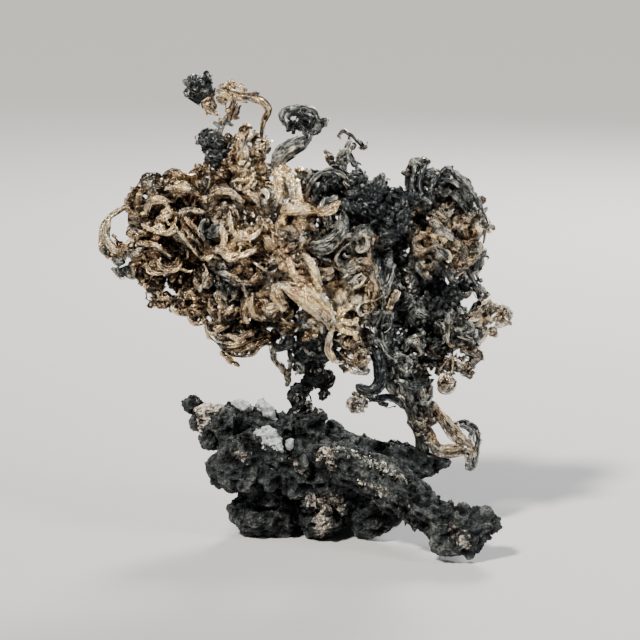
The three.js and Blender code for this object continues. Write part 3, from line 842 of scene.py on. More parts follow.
def native_silver_group():
    """Colour, roughness, metal and height of native silver. Fine lines follow the grain; with grit
    and broad noise they make the height, and the same lines lighten the tone on their crests, as
    painted highlight, darken it in their hollows, as painted shade, and hold the tarnish there."""
    tree, given, out = new_group(
        "native silver",
        (
            ("Place", "Vector"), ("Grain", "Vector"),
            ("Tone", "Float"), ("Tarnish", "Float"), ("Rust", "Float"),
        ),
        (("Color", "Color"), ("Roughness", "Float"), ("Metallic", "Float"), ("Height", "Float")),
    )
    lines = noise(tree, given["Grain"], 3.4, 4, 0.7)
    finer = noise(tree, given["Grain"], 9.0, 2, 0.6)
    broad = noise(tree, given["Place"], 240, 2)
    grit = noise(tree, given["Place"], 1500, 4, 0.7)
    # The tone rises where the height does: painted highlight on the crests and painted shade in the hollows.
    level = weighed(tree, given["Tone"], (lines, 1.5), (finer, 0.7), (grit, 0.9), (broad, 0.7))
    silver = clean_silver(tree, given, level, grit)
    dull = carried(tree, plus(tree, given["Tarnish"], broad, 0.8), 0.02, 0.42)
    silver = mixed(tree, dull, silver, ramp(tree, level, DULL_TONES))
    black = weighed(tree, given["Tarnish"], (grit, 1.2), (lines, -0.9), (broad, 0.6))
    black = carried(tree, black, 0.3, 0.8)
    sulphide = ramp(tree, plus(tree, grit, lines, 0.8), SULPHIDE_TONES)
    sulphide = mixed(tree, dull, (0.012, 0.0045, 0.002), sulphide)
    tree.links.new(mixed(tree, black, silver, sulphide), out["Color"])
    rough = carried(tree, finer, 0.3, 0.7, 0.16, 0.34)
    tree.links.new(sums(tree, "ADD", rough, sums(tree, "MULTIPLY", black, 0.2)), out["Roughness"])
    tree.links.new(sums(tree, "SUBTRACT", 1.0, sums(tree, "MULTIPLY", black, 0.3)), out["Metallic"])
    height = sums(tree, "ADD", lines, sums(tree, "MULTIPLY", finer, 0.4))
    tree.links.new(sums(tree, "ADD", height, sums(tree, "MULTIPLY", grit, 0.5)), out["Height"])
    return tree


NATIVE_SILVER = native_silver_group()
print("group:", NATIVE_SILVER.name)


# %% One state of silver
def silver_material(name, tone, tarnish, depth, gloss):
    """One state of silver: how far its tone and tarnish are moved, how deep its striations are in
    metres, and how far its roughness is moved."""
    material, tree, shader = new_material(name)
    surface = new_node(tree, "Group", node_tree=NATIVE_SILVER)
    tree.links.new(new_node(tree, "TexCoord").outputs["Object"], surface.inputs["Place"])
    tree.links.new(mesh_value(tree, "grain", "Vector"), surface.inputs["Grain"])
    tree.links.new(mesh_value(tree, "rust"), surface.inputs["Rust"])
    tree.links.new(sums(tree, "ADD", mesh_value(tree, "tone"), tone), surface.inputs["Tone"])
    tree.links.new(sums(tree, "ADD", mesh_value(tree, "tarnish"), tarnish), surface.inputs["Tarnish"])
    bumped(tree, shader, surface.outputs["Height"], depth)
    tree.links.new(surface.outputs["Color"], shader.inputs["Base Color"])
    tree.links.new(sums(tree, "ADD", surface.outputs["Roughness"], gloss), shader.inputs["Roughness"])
    tree.links.new(surface.outputs["Metallic"], shader.inputs["Metallic"])
    return material


# %% Acanthite
SOOT_TONES = [
    (0.02, (0.0006, 0.0007, 0.0008)),
    (0.18, (0.006, 0.0072, 0.008)),
    (0.34, (0.022, 0.026, 0.028)),
    (0.5, (0.05, 0.057, 0.058)),
    (0.7, (0.13, 0.138, 0.13)),
    (0.95, (0.38, 0.38, 0.34)),
]


def acanthite_material():
    """Black, sooty silver sulphide: crumbly grains, a blue-grey bloom, glints on a few faces, and
    silver that shows through where the mesh's tarnish is low. Pits and hollows are painted near
    black, as painted shade."""
    material, tree, shader = new_material("acanthite rock")
    place = new_node(tree, "TexCoord").outputs["Object"]
    broad = noise(tree, place, 260, 3, 0.6)
    fine = noise(tree, place, 1500, 4, 0.75)
    cell = new_node(tree, "TexVoronoi", Scale=2000, Randomness=1.0)
    tree.links.new(place, cell.inputs["Vector"])
    facets = new_node(tree, "SeparateColor")
    tree.links.new(cell.outputs["Color"], facets.inputs["Color"])
    level = weighed(tree, mesh_value(tree, "tone"), (fine, 0.75), (facets.outputs[0], 0.12))
    soot = ramp(tree, level, SOOT_TONES)
    bloom = carried(tree, broad, 0.5, 0.72, 0.0, 0.3)
    soot = mixed(tree, bloom, soot, (0.014, 0.02, 0.024))
    # Pits, where the bump is low, and hollow patches are painted near black: painted shade.
    pits = carried(tree, cell.outputs["Distance"], 0.4, 0.75, 0.0, 0.6)
    hollow = carried(tree, noise(tree, place, 800, 3, 0.7), 0.36, 0.45, 0.9, 0.0)
    pits = sums(tree, "MAXIMUM", pits, hollow)
    soot = mixed(tree, pits, soot, (0.0008, 0.001, 0.001))
    speck = noise(tree, place, 1700, 3, 0.6)
    bare = plus(tree, sums(tree, "SUBTRACT", 1.0, mesh_value(tree, "tarnish")), speck, 2.0)
    bare = carried(tree, bare, 0.45, 0.8)
    metal = ramp(tree, plus(tree, fine, level, 0.5, 0.3), FROST_TONES)
    tree.links.new(mixed(tree, bare, soot, metal), shader.inputs["Base Color"])
    tree.links.new(carried(tree, facets.outputs[0], 0.1, 0.9, 0.4, 0.9), shader.inputs["Roughness"])
    tree.links.new(carried(tree, bare, 0.0, 1.0, 0.2, 0.95), shader.inputs["Metallic"])
    shader.inputs["Specular IOR Level"].default_value = 0.2
    height = sums(tree, "ADD", sums(tree, "MULTIPLY", cell.outputs["Distance"], -0.8), fine)
    bumped(tree, shader, height, 0.0005)
    return material


# %% Calcite
CALCITE_TONES = [
    (0.32, (0.05, 0.055, 0.06)),
    (0.44, (0.3, 0.32, 0.33)),
    (0.56, (0.56, 0.59, 0.58)),
    (0.8, (0.84, 0.85, 0.82)),
]


def calcite_material():
    """Opaque white calcite with grey patches of painted shade for hollows, and a sugary surface."""
    material, tree, shader = new_material("calcite crust")
    place = new_node(tree, "TexCoord").outputs["Object"]
    fine = noise(tree, place, 1100, 5, 0.7)
    tree.links.new(ramp(tree, fine, CALCITE_TONES), shader.inputs["Base Color"])
    tree.links.new(carried(tree, fine, 0.3, 0.7, 0.6, 0.35), shader.inputs["Roughness"])
    bumped(tree, shader, noise(tree, place, 1800, 4, 0.7), 0.0004, 0.9)
    return material


# %% Looks
# Each look is a material and the name of one of the imported model's slots, which nothing here
# reads. Speckled pieces are silver patches with the rock's material, where their low tarnish lets
# bare silver show.
WARM = (silver_material("warm wire", 0.0, 0.0, 0.0003, 0.0), "warm_silver")
SANDY = (silver_material("sandy wire", 0.045, 0.06, 0.00055, 0.06), "warm_silver")
BRIGHT = (silver_material("bright wire", 0.06, -0.1, 0.0004, -0.06), "bright_silver")
GREY = (silver_material("grey wire", 0.0, 0.24, 0.0003, 0.04), "tarnished_silver")
BLACK = (silver_material("black wire", -0.03, 0.48, 0.0003, 0.06), "acanthite")
ROCK = (acanthite_material(), "acanthite")
SPECKLED = (ROCK[0], "warm_silver")
CALCITE = (calcite_material(), "calcite")
print("materials:", len(bpy.data.materials))

# %% [markdown]
# ## Growing the pieces
#
# Every piece is grown first and built later, because how dark a wire is painted, as tarnish and
# painted shade, depends on what else stands in front of it.

# %% What has been grown
GROWN = {}


def grow(name, look, *skins):
    """Keeps a piece's joined skin and its look until it's built."""
    whole = joined(skins)
    GROWN[name] = (whole, look)
    print(name, "wires and lumps:", whole["tiles"])


# %% [markdown]
# ## Lobes
#
# The balls of each lobe follow the outline of the bush: centre x, y, z and radius in millimetres.
# They're only a guide for the curls, and nothing of them is made.

# %% The lobes' balls
LOBES = {
    "left_lobe": [
        (-24.6, 2.5, 54.5, 2.6), (-22, 1.5, 54.9, 2.6), (-18.8, 1.5, 55.3, 2.5), (-17.3, 2, 57.6, 1.2),
        (-25.2, 2, 51.3, 2.2), (-24.8, 2, 47.4, 2.4), (-21.4, 1, 50.5, 3.1), (-25.2, 2.5, 44.2, 2.3),
        (-21.8, 2, 45.2, 3), (-17.2, 2, 50.5, 2.8), (-17.4, 2.5, 46.3, 2.6), (-21, 6.5, 47.1, 4.8),
        (-22.6, 5.5, 53, 3), (-17.4, 2.5, 43.6, 2.2), (-20, 2.5, 42.6, 1.8), (-23.2, 1.6, 56, 2),
        (-20.4, 1.6, 56.4, 2), (-15.8, 1.5, 56.2, 1.7), (-15.6, 1.5, 58.6, 1.2), (-17.4, 1, 58.4, 0.9),
        (-26.5, 2, 49.2, 1), (-26.4, 2.2, 55, 1.2), (-25.6, 2, 42.6, 1.2),
    ],
    "left_tassel": [
        (-23.6, 2.5, 40.6, 1.7), (-23.8, 2.5, 38.1, 1), (-19.6, 1.5, 40.8, 1.9), (-18.8, 1, 38, 1.6),
        (-17, 1, 36.2, 1.6), (-15.6, 1, 38.8, 1.9), (-21.8, 2, 37.9, 1.5), (-19.5, 1.5, 37, 1.3),
        (-15.4, 1.2, 35.6, 1.1), (-17.3, 1, 40.1, 1.2), (-13, 0.5, 35, 1.1),
    ],
    "middle_lobe": [
        (-12.6, 0, 56.8, 2.7), (-14.4, 0, 54, 2.4), (-8.8, -1, 56.2, 2.6), (-13.2, -1.8, 50.7, 3.2),
        (-10.6, -1.8, 54, 2.6), (-6.6, -1.6, 54.1, 2.3), (-12.6, -2.8, 46.6, 3.1), (-9, -3, 47.5, 2.8),
        (-14.6, -0.8, 41.9, 2.5), (-11, -2.4, 42.4, 3), (-7.4, -3, 43.4, 2.8), (-6, -2.4, 49, 2.1),
        (-12.4, -0.8, 38, 2.7), (-8, -2.4, 38.5, 2.9), (-5, -3, 37.9, 2.1), (-2.8, -2.8, 35.6, 1.7),
        (-12, 4.5, 46.5, 5.8), (-7.2, 4, 41.5, 5), (-4, -1, 51.8, 1.8), (-9.6, -0.8, 58.4, 1.6),
        (-0.5, 0.5, 56.3, 1.4), (-2.9, 0.5, 56, 1.3), (0.9, 0.5, 54.4, 1.3), (-5.5, 0.5, 56, 1.3),
        (-5.8, 0.8, 58.7, 1.2), (-1.3, -4, 37.2, 1.3), (-11, 0.6, 36, 1.3),
    ],
    "lower_lobe": [
        (-10.5, 0.2, 33.3, 2.2), (-12.4, 0.2, 32.8, 1.7), (-8.7, 0.2, 33.6, 2), (-11.4, 0.4, 31, 1.5),
        (-9.2, 0.4, 31.3, 1.5), (-6.8, 0.4, 32.9, 1.5), (-13, 0.2, 34.2, 1.4), (-14.5, 0.2, 33.8, 1.5),
        (-5.4, 1, 32.6, 1.2),
    ],
    "crown_lobe": [
        (-10, 0.5, 60.8, 1.8), (-9.7, 0.5, 63.5, 1.3), (-9, 0.4, 65.1, 0.9), (-7.2, 0, 60.5, 1.5),
        (-6.5, 0, 63, 1.2), (-9, 0.5, 58.6, 2.3), (-11.6, 1, 58.8, 1.6), (-5.8, 0.4, 57.8, 1.2),
        (-7.6, 0.5, 64, 0.9), (-11.8, 1, 63.3, 0.9),
    ],
    "dark_wreath": [
        (1.6, 0, 57.3, 1.7), (4.4, -0.4, 57.5, 1.9), (3, 0, 55.6, 2), (6.4, 0, 56.8, 1.4),
        (5.6, 1, 54.6, 1.8),
    ],
    "dark_cluster": [
        (8.6, -2, 55.4, 2.2), (11, -1.4, 56.3, 2.1), (13.6, -1.5, 54.5, 2.2), (10.6, -2, 53, 2.5),
        (15, -1, 51.7, 2.1), (7.4, -2.5, 53.5, 1.7), (13, -2, 50.5, 2.2), (16.2, -0.5, 54.7, 1.3),
        (8.2, -1, 57.6, 1.3),
    ],
    "right_centre_lobe": [
        (8.6, -4, 48.7, 2.3), (6.4, -4.4, 45.9, 2.2), (9.6, -4, 45.2, 1.9), (5, -4.4, 42.9, 2.2),
        (8.4, -4.4, 42.4, 2.2), (6, -4.4, 39.6, 2.1), (9, -4, 38.7, 1.8), (3.4, -3.4, 46.5, 2.2),
        (7.6, -4, 36.2, 1.8), (10.6, -2.4, 40.8, 2.2), (6.4, 1.6, 42, 5), (3, 1.5, 49.2, 4.2),
        (1.5, 1, 44.2, 4), (10, 1.5, 38, 2.4), (7.6, 0, 36.6, 2.2), (7.5, 0.5, 51, 2.2),
        (10.3, 0.5, 49.7, 2.2), (-1.3, 0, 37.2, 1.5), (9.6, 1, 32.4, 1.3),
    ],
    "under_lobe": [
        (-0.8, 1, 30, 1.8), (1, 0.6, 30.5, 2), (2.9, 1, 30, 2), (4.8, 1.4, 29.9, 1.8),
        (2, 0.6, 32.4, 2.4), (-0.2, 0.6, 32.1, 1.8), (4.2, 1, 32, 2), (1.6, 1, 35.6, 2.9),
        (-3.8, 0.6, 32.5, 1.7), (-4.6, 0.6, 34.8, 1.6),
    ],
    "front_tassel": [(6.6, -4.6, 33.5, 1.6), (8.4, -4.6, 31.4, 1.3), (8.9, -4.8, 29.6, 0.9)],
    "right_lobe": [
        (20.6, 2, 56, 2.3), (23.4, 2, 55.4, 2.3), (25.6, 2, 53.1, 2.1), (26.6, 2, 50.1, 1.7),
        (18.4, 1, 53.6, 1.8), (20.6, -1, 51.1, 2.7), (24, -0.6, 50.4, 2.7), (18.2, -1.4, 47.9, 2.3),
        (21.4, -2, 47.5, 2.9), (25, -0.6, 47, 2.4), (19.4, -1.6, 44.5, 2.2), (23, -1.4, 44.1, 2.4),
        (26, 0.6, 44, 1.7), (21.6, 4.6, 48.5, 6.2), (16.8, 0, 43.8, 1.9), (28.4, 1.5, 49.7, 0.9),
    ],
    "right_horn": [
        (17, 1.6, 55.7, 1.2), (17, 1.4, 58.2, 1), (18.2, 1.3, 59.8, 0.8), (18.9, 1.6, 57.5, 1),
    ],
    "right_lower_lobe": [
        (17.6, 0.4, 36.9, 2.3), (21, 0.6, 35.9, 1.9), (18.4, 0.2, 32.9, 2.1), (16.6, 0, 30.7, 1.9),
        (20.6, 0.6, 31.8, 1.9), (20, 0, 39.5, 1.7), (23, 0, 39.7, 1.7), (25.2, 0.5, 39.6, 1.1),
        (19, 3.4, 34.4, 3.8), (14.6, -0.4, 35.2, 1.8), (15.4, -0.2, 38.4, 1.8), (14.4, -0.6, 41.6, 1.7),
        (13.6, -1, 32, 1.7), (16.4, 0.6, 27.8, 1.8), (21.2, -0.4, 34.2, 1.7), (14.6, 0.2, 28.8, 1.8),
        (14.4, 1.5, 36.8, 2), (19.8, 1, 40, 1.6), (21.4, 1, 40, 1.7), (22.9, 1, 39.8, 1.6),
        (24.3, 1, 40.3, 1.4), (21.1, 0.8, 38.4, 1.7), (22.6, 0.8, 38.3, 1.6), (17.1, 0.8, 40, 1.6),
        (17.9, 0.8, 40.8, 1.6), (16, 0.8, 41.6, 1.6), (19.5, 0.8, 38.4, 1.7), (21.9, 0.4, 31.3, 1.7),
        (20.5, 0.2, 30.5, 1.6), (19.1, 1.5, 27.6, 1.3), (21.8, 1, 28.6, 1.2), (24.2, 1, 28.8, 1),
    ],
    "right_arm": [
        (23, 0, 34.4, 1.9), (25.6, 0, 34.6, 1.9), (27.8, -0.3, 35.6, 1.6), (30, -0.5, 36.7, 1.2),
        (31.3, -0.5, 35.9, 0.9), (29.1, -0.5, 33.7, 0.9), (26.2, -0.2, 31.9, 1.5),
        (26.7, -0.4, 29.7, 1.1), (25.4, -0.5, 27.8, 1), (24, 0.4, 36.5, 1.3), (28.6, -0.4, 37.6, 1.3),
        (31, -0.5, 36.6, 1.1), (27, 0, 38, 1.2), (23.4, -0.2, 35.8, 1.5), (24.9, -0.4, 35.5, 1.6),
        (26.5, -0.5, 35.8, 1.5), (28, -0.5, 36.5, 1.3), (24.2, -0.2, 33.5, 1.6), (25.7, -0.4, 33.7, 1.6),
        (27.3, -0.4, 34, 1.3), (23, 0.2, 32.2, 1.6), (24.8, -0.2, 31.6, 1.3), (26.1, -0.4, 30.4, 1.1),
        (26.7, -0.5, 29.3, 0.8), (25.7, -0.5, 27.4, 0.9), (22.5, 0, 34.4, 1.6),
    ],
    "high_tuft": [
        (-16, 0.8, 71.9, 1.2), (-16.6, 0.8, 70.9, 1.2), (-14.9, 0.8, 72.8, 0.8), (-17.7, 0.9, 70.5, 0.7),
        (-15.1, 0.8, 71, 1), (-16.2, 0.9, 70, 0.8), (-17.2, 0.9, 72.4, 0.8), (-15.6, 1.4, 71.1, 1.1),
    ],
    "low_tuft": [
        (-16, 1.5, 63.4, 0.8), (-15.3, 1.5, 64.3, 0.7), (-13.9, 1.4, 63.9, 1), (-14.6, 1.5, 62.5, 1.4),
        (-13, 1.4, 62.2, 1.3), (-13.9, 1.5, 60.9, 1.5), (-11.9, 1.2, 61.6, 1.1), (-13.3, 1.4, 63.1, 0.9),
    ],
    "back_lobe_left": [(-5.2, 11, 48, 5.6), (-12, 11.2, 45.6, 5), (-2.6, 11, 41, 4.8)],
    "back_lobe_right": [
        (12, 10, 47, 5.6), (17.4, 9.6, 42.6, 4.6), (6, 11.4, 44, 5), (11, 6.2, 39.4, 5.2),
        (19.5, 5.4, 41, 2.8), (15, 5, 35.8, 2.8), (21.6, 5, 36.6, 2.6),
    ],
}

# %% [markdown]
# ## The silver trunk
#
# The widest ribbon climbs from the bottom of the bush to its top. It's the brightest piece, worn to
# cream on its crest, where a painted highlight adds to it, and it forks twice.

# %% Silver trunk
TRUNK_WIRES = [
    [(-4, -2.2, 59.7, 0.45), (-4, -2.8, 58, 0.6), (-3.7, -3.6, 55.9, 0.62), (-3.4, -4.6, 54.3, 0.5)],
    [(-3.8, -2.2, 60.3, 0.5), (-3.1, -2.6, 59, 0.75), (-2.1, -3.2, 57.9, 0.9), (-1.4, -4, 56.4, 0.8),
     (-1, -4.8, 54.6, 0.75), (-0.3, -5.4, 53.6, 0.5)],
    [(-3.6, -5.6, 52.9, 0.45), (-2.4, -6.2, 53.7, 0.85), (-0.6, -6.6, 53.9, 0.8), (1.1, -7, 53.7, 0.55),
     (2.3, -7.2, 53.6, 0.4)],
    [(1.8, -7.4, 53.3, 0.4), (3.1, -7.8, 53.7, 0.7), (4.3, -8, 54.2, 0.6), (5.3, -8, 55.4, 0.15)],
    [(2, -7.6, 53.8, 0.3), (2.5, -7.6, 54.8, 0.3), (2.9, -7.6, 55.6, 0.12)],
    [(-3, -5.4, 53, 0.5), (-3.8, -5.8, 51.2, 0.7), (-3.9, -6, 49.4, 1), (-3.6, -6.4, 47.6, 1),
     (-3.3, -6.8, 45.8, 0.7), (-2.7, -7, 44.3, 0.5)],
    [(-0.3, -6, 53.2, 0.45), (-0.4, -6.4, 51.8, 0.6), (-0.8, -6.6, 49.8, 0.6), (-1.2, -6.8, 47.8, 0.5),
     (-1.2, -7, 46.8, 0.35)],
    [(-1.3, -6.8, 47.1, 0.35), (-0.1, -7.2, 46.5, 0.55), (0.9, -7.4, 45.6, 0.6), (1.5, -7.6, 44.1, 0.6),
     (2, -7.8, 42.3, 0.5), (2.6, -7.8, 41.4, 0.2)],
    [(-2.5, -6.8, 46.8, 0.35), (-2.1, -7.2, 45.3, 0.5), (-1.3, -7.4, 43.8, 0.55), (-0.1, -7.8, 42.6, 0.6),
     (0.6, -8, 41.3, 0.4)],
    [(-4.1, -7.4, 42.7, 0.3), (-2.7, -8, 42.2, 0.7), (-1, -8.4, 41.4, 1.15), (0.8, -8.6, 40.5, 1.3),
     (2.5, -8.4, 39, 1.2), (3.8, -7.8, 37.2, 1), (4.7, -7, 35.5, 0.5)],
    [(-1.2, -8, 42.4, 0.35), (0.5, -8.6, 41.7, 0.5), (2, -8.7, 40.6, 0.6), (3.4, -8.2, 38.8, 0.5),
     (4.4, -7.6, 37.2, 0.4)],
    [(-2.1, -8, 40.7, 0.3), (-0.4, -8.4, 39.7, 0.5), (1.2, -8.2, 38.5, 0.5), (2.8, -7.6, 36.9, 0.5),
     (3.8, -7, 35.3, 0.3)],
    [(4.4, -7, 36.1, 0.45), (5.8, -7, 36.7, 0.5), (7.2, -6.8, 36.5, 0.4), (8.3, -6.4, 37.1, 0.2)],
    [(4.6, -6.8, 35.6, 0.45), (6.1, -6.8, 35.4, 0.5), (7.5, -6.6, 34.8, 0.4), (8, -6.4, 33.5, 0.25)],
    [(4.6, -7, 36.6, 0.4), (5.2, -6.8, 37.9, 0.45), (6.1, -6.6, 38.5, 0.4), (6.9, -6.4, 39.1, 0.2)],
    [(-4.7, -6.6, 42.4, 0.25), (-4.9, -7, 40.8, 0.4), (-4.2, -7, 39.4, 0.4), (-3.2, -6.6, 38.4, 0.25)],
    [(-4.2, -6.8, 42.6, 0.25), (-3.9, -7.2, 40.7, 0.4), (-3.2, -7, 39.4, 0.25)],
]
TRUNK_CLODS = [
    (-3.6, -5.6, 48.9, 1.5), (-3.2, -5.4, 50.2, 1.2), (-3.3, -6, 46.8, 1.3), (-2.1, -6.4, 44.8, 1.4),
    (-0.7, -6.8, 44, 1.2), (0.3, -7.2, 42.5, 1.1), (-2.1, -5.6, 48.2, 1.2), (1.5, -6.4, 35.5, 1.4),
    (0.6, -6.2, 34.5, 1), (6.4, -6, 33.5, 1.1), (-1.9, -5.6, 50.4, 1.6), (-2, -5.8, 48, 1.6),
    (-0.5, -6.2, 45.6, 1.3), (-0.4, -6.4, 43.8, 1.4), (-2.8, -6, 44, 1.2),
]
TRUNK_RIDGE = [(-1, -8.4, 41.4, 1), (0.8, -8.6, 40.5, 1.1), (2.5, -8.4, 39, 1), (3.8, -7.8, 37.2, 0.8)]
grow(
    "silver_trunk",
    BRIGHT,
    *drawn_wires(TRUNK_WIRES, 11, tone=0.57, tarnish=-0.07, sides=12, steps=32, each=5, rough=0.24),
    dressed(TRUNK_WIRES[5:9], 50, 111, 0.4, length=(2, 4.5), half=(0.25, 0.55), tone=0.5),
    clods(TRUNK_CLODS, 50, 113, (0.8, 1.4), (0, 1), tone=0.52, fold=0.6),
    nuggets(TRUNK_CLODS, 60, 114, tone=0.55),
    nuggets(TRUNK_RIDGE, 80, 115, (0.12, 0.34), (-0.1, 0.2), 0.6),
)

# %% [markdown]
# ## Single wires and hooks
#
# Some wires stand clear of the bush: a round loop at the left, an arch and two curls at the top,
# and hooks below. Against a plain background their outlines show most, so every one of them is
# drawn. Small curls cling to them and break up their smooth edges.

# %% The loop at the left
LEFT_LOOP = [
    [(-27, 0.8, 51.9, 0.4), (-27.1, 0.7, 52.7, 0.45), (-27.8, 0.6, 53.2, 0.5), (-28.5, 0.4, 52.9, 0.45),
     (-29.5, 0.3, 52.2, 0.4), (-30.4, 0.2, 51.4, 0.35), (-31, 0.1, 50.3, 0.45), (-31.3, 0.1, 49.3, 0.5),
     (-31.5, 0.1, 48.3, 0.55), (-31.5, 0, 47.4, 0.55), (-31.1, 0, 46.3, 0.5), (-30.2, 0.1, 45.6, 0.4),
     (-29.3, 0.1, 45.3, 0.3), (-28.4, 0.2, 45.7, 0.2)],
    [(-30.3, -0.2, 51.4, 0.3), (-30.6, -0.3, 50.2, 0.45), (-30.6, -0.5, 49, 0.5), (-30.5, -0.5, 48, 0.55),
     (-30.1, -0.4, 47.1, 0.7), (-29.4, -0.3, 46.4, 0.9), (-28.6, -0.1, 45.8, 0.8), (-28.2, 0.2, 45, 0.4)],
    [(-29.9, -0.3, 48.9, 0.15), (-29.3, -0.5, 48.6, 0.2)],
    [(-29.1, -0.6, 47.7, 0.3), (-28.6, -0.6, 47.2, 0.35), (-27.8, -0.6, 47.1, 0.4),
     (-27, -0.3, 47.8, 0.35), (-26.6, 0, 48.3, 0.3)],
    [(-30.2, -0.1, 45.5, 0.4), (-29.2, -0.2, 44.6, 0.5), (-28.4, -0.1, 44.9, 0.35)],
    [(-28.6, 0, 46.3, 0.8), (-27.5, 0.2, 46.3, 0.8), (-26.3, 0.5, 46.1, 0.9), (-25.3, 0.8, 46.8, 0.6)],
    [(-29.6, 0.6, 43.3, 0.35), (-28.9, 0.8, 42.5, 0.35), (-28.3, 0.9, 42.4, 0.2)],
    [(-29, 0.8, 43.7, 0.25), (-28.9, 0.8, 42.8, 0.2)],
    [(-28.3, 0.9, 43.7, 0.5), (-28, 0.9, 43.1, 0.6), (-27.2, 0.8, 42.2, 0.4), (-26.4, 0.8, 42, 0.35)],
]
grow(
    "left_loop",
    WARM,
    *drawn_wires(LEFT_LOOP, 21, tone=0.5, tarnish=0.16, steps=24, each=4),
    dressed(LEFT_LOOP, 40, 121, 0.2),
)

# %% The arch
ARCH = [
    [(-6.7, 0, 63.5, 0.45), (-6.6, -0.2, 64.6, 0.5), (-6.5, -0.4, 65.6, 0.42), (-6.2, -0.6, 66.5, 0.48),
     (-5.7, -0.7, 67.5, 0.55), (-5.7, -0.9, 68.5, 0.55), (-6.5, -1, 69.5, 0.6), (-7.5, -1, 70, 0.55),
     (-8.7, -0.9, 70.2, 0.45), (-9.9, -0.9, 70.5, 0.45), (-10.7, -0.7, 70.8, 0.5),
     (-11.6, -0.5, 71.3, 0.4), (-12.7, -0.3, 71.5, 0.45)],
    [(-8.7, -1.1, 69.3, 0.2), (-9.7, -1, 69.7, 0.28), (-10.3, -1, 70.1, 0.3), (-10.7, -0.9, 70.6, 0.2)],
    [(-10.3, -1, 70.5, 0.25), (-10.7, -1, 69.7, 0.35), (-10.7, -1.1, 68.8, 0.6), (-11, -1, 68.1, 0.65),
     (-11.4, -0.8, 67.4, 0.5), (-11.7, -0.5, 66.8, 0.35), (-12.5, -0.2, 66.6, 0.25), (-13.3, 0, 66, 0.2),
     (-12.9, 0.2, 65.1, 0.22), (-13.1, 0.4, 64.6, 0.15)],
    [(-9.8, -0.6, 68.9, 0.15), (-10.3, -0.5, 67.8, 0.22), (-11, -0.4, 66.8, 0.15)],
    [(-13.2, -1, 70.7, 0.35), (-12.7, -1.1, 71, 0.4), (-11.8, -1.2, 70.8, 0.45),
     (-11.2, -1.1, 70.1, 0.35), (-10.7, -1, 69.3, 0.25)],
    [(-13.4, -0.8, 70.5, 0.25), (-13.2, -0.9, 69.9, 0.25), (-12.3, -0.9, 69.7, 0.35),
     (-11.7, -1, 70.1, 0.2)],
    [(-13.2, 0, 71.4, 0.3), (-12.8, 0.1, 71.9, 0.3), (-11.8, 0.1, 71.8, 0.25), (-11.3, 0, 71.2, 0.2)],
    [(-11.4, -0.4, 72.4, 0.12), (-10.8, -0.5, 71.9, 0.2), (-10.6, -0.5, 71.5, 0.15)],
    [(-9.9, -0.6, 71.6, 0.15), (-8.8, -0.8, 71.4, 0.12)],
    [(-8.2, -0.9, 70.7, 0.2), (-7.5, -0.9, 70.9, 0.25), (-7, -1, 70.6, 0.2)],
    [(-14.2, 0.2, 70.9, 0.3), (-14, 0.1, 70, 0.35), (-13.7, 0.1, 68.8, 0.35), (-14.2, 0.2, 68.2, 0.4)],
    [(-14.9, -0.3, 69.8, 0.35), (-14.6, -0.3, 68.9, 0.5), (-14.4, -0.4, 68.2, 0.45),
     (-13.6, -0.2, 67.9, 0.2), (-13.1, 0, 67.4, 0.12)],
    [(-15.8, 0.5, 69.6, 0.15), (-15.4, 0.6, 68.4, 0.2), (-15, 0.6, 67.3, 0.18)],
]
grow(
    "arch_wire",
    WARM,
    *drawn_wires(ARCH, 22, tone=0.55, tarnish=0.1, each=4, steps=24),
    dressed(ARCH[2:], 22, 122, 0.3, length=(1.5, 4), half=(0.2, 0.45), tone=0.5),
)

# %% The curls at the top
TOP_CURL = [
    [(-4.3, -2.2, 58.8, 0.5), (-4.1, -2.2, 60.5, 0.9), (-3, -2.3, 62, 1.25), (-1.2, -2.4, 63, 1.25),
     (0.3, -2.4, 64.2, 0.8), (1.4, -2.3, 65.5, 0.45)],
    [(1.1, -2.2, 64.9, 0.3), (2, -2, 66.3, 0.4), (1.5, -2, 67.8, 0.42), (0, -2, 68.7, 0.42),
     (-1.6, -2, 68.8, 0.4), (-3, -2.2, 68.3, 0.38), (-3.6, -2.5, 67.2, 0.38), (-3.2, -2.8, 66.2, 0.32),
     (-2.2, -2.7, 66, 0.15)],
    [(0.6, -2.4, 65.2, 0.25), (0.8, -2.4, 66.6, 0.32), (-0.1, -2.2, 67.6, 0.32), (-1.3, -2.2, 68.1, 0.32),
     (-2.4, -2.4, 67.7, 0.28), (-2.5, -2.6, 66.8, 0.2)],
    [(1.5, -1.9, 66.4, 0.25), (2.5, -1.8, 66.5, 0.32), (3.4, -1.6, 66.8, 0.15)],
    [(-0.7, -2.6, 67.4, 0.2), (-0.4, -2.7, 66, 0.28), (0.5, -2.6, 64.8, 0.25)],
    [(1.7, -2, 65.3, 0.2), (2.5, -1.8, 65.8, 0.28), (3.1, -1.6, 66.7, 0.12)],
    [(-3.6, -2.7, 61.2, 0.35), (-2.4, -2.9, 62.6, 0.5), (-0.6, -2.9, 63.5, 0.5), (0.9, -2.7, 64.8, 0.3)],
]
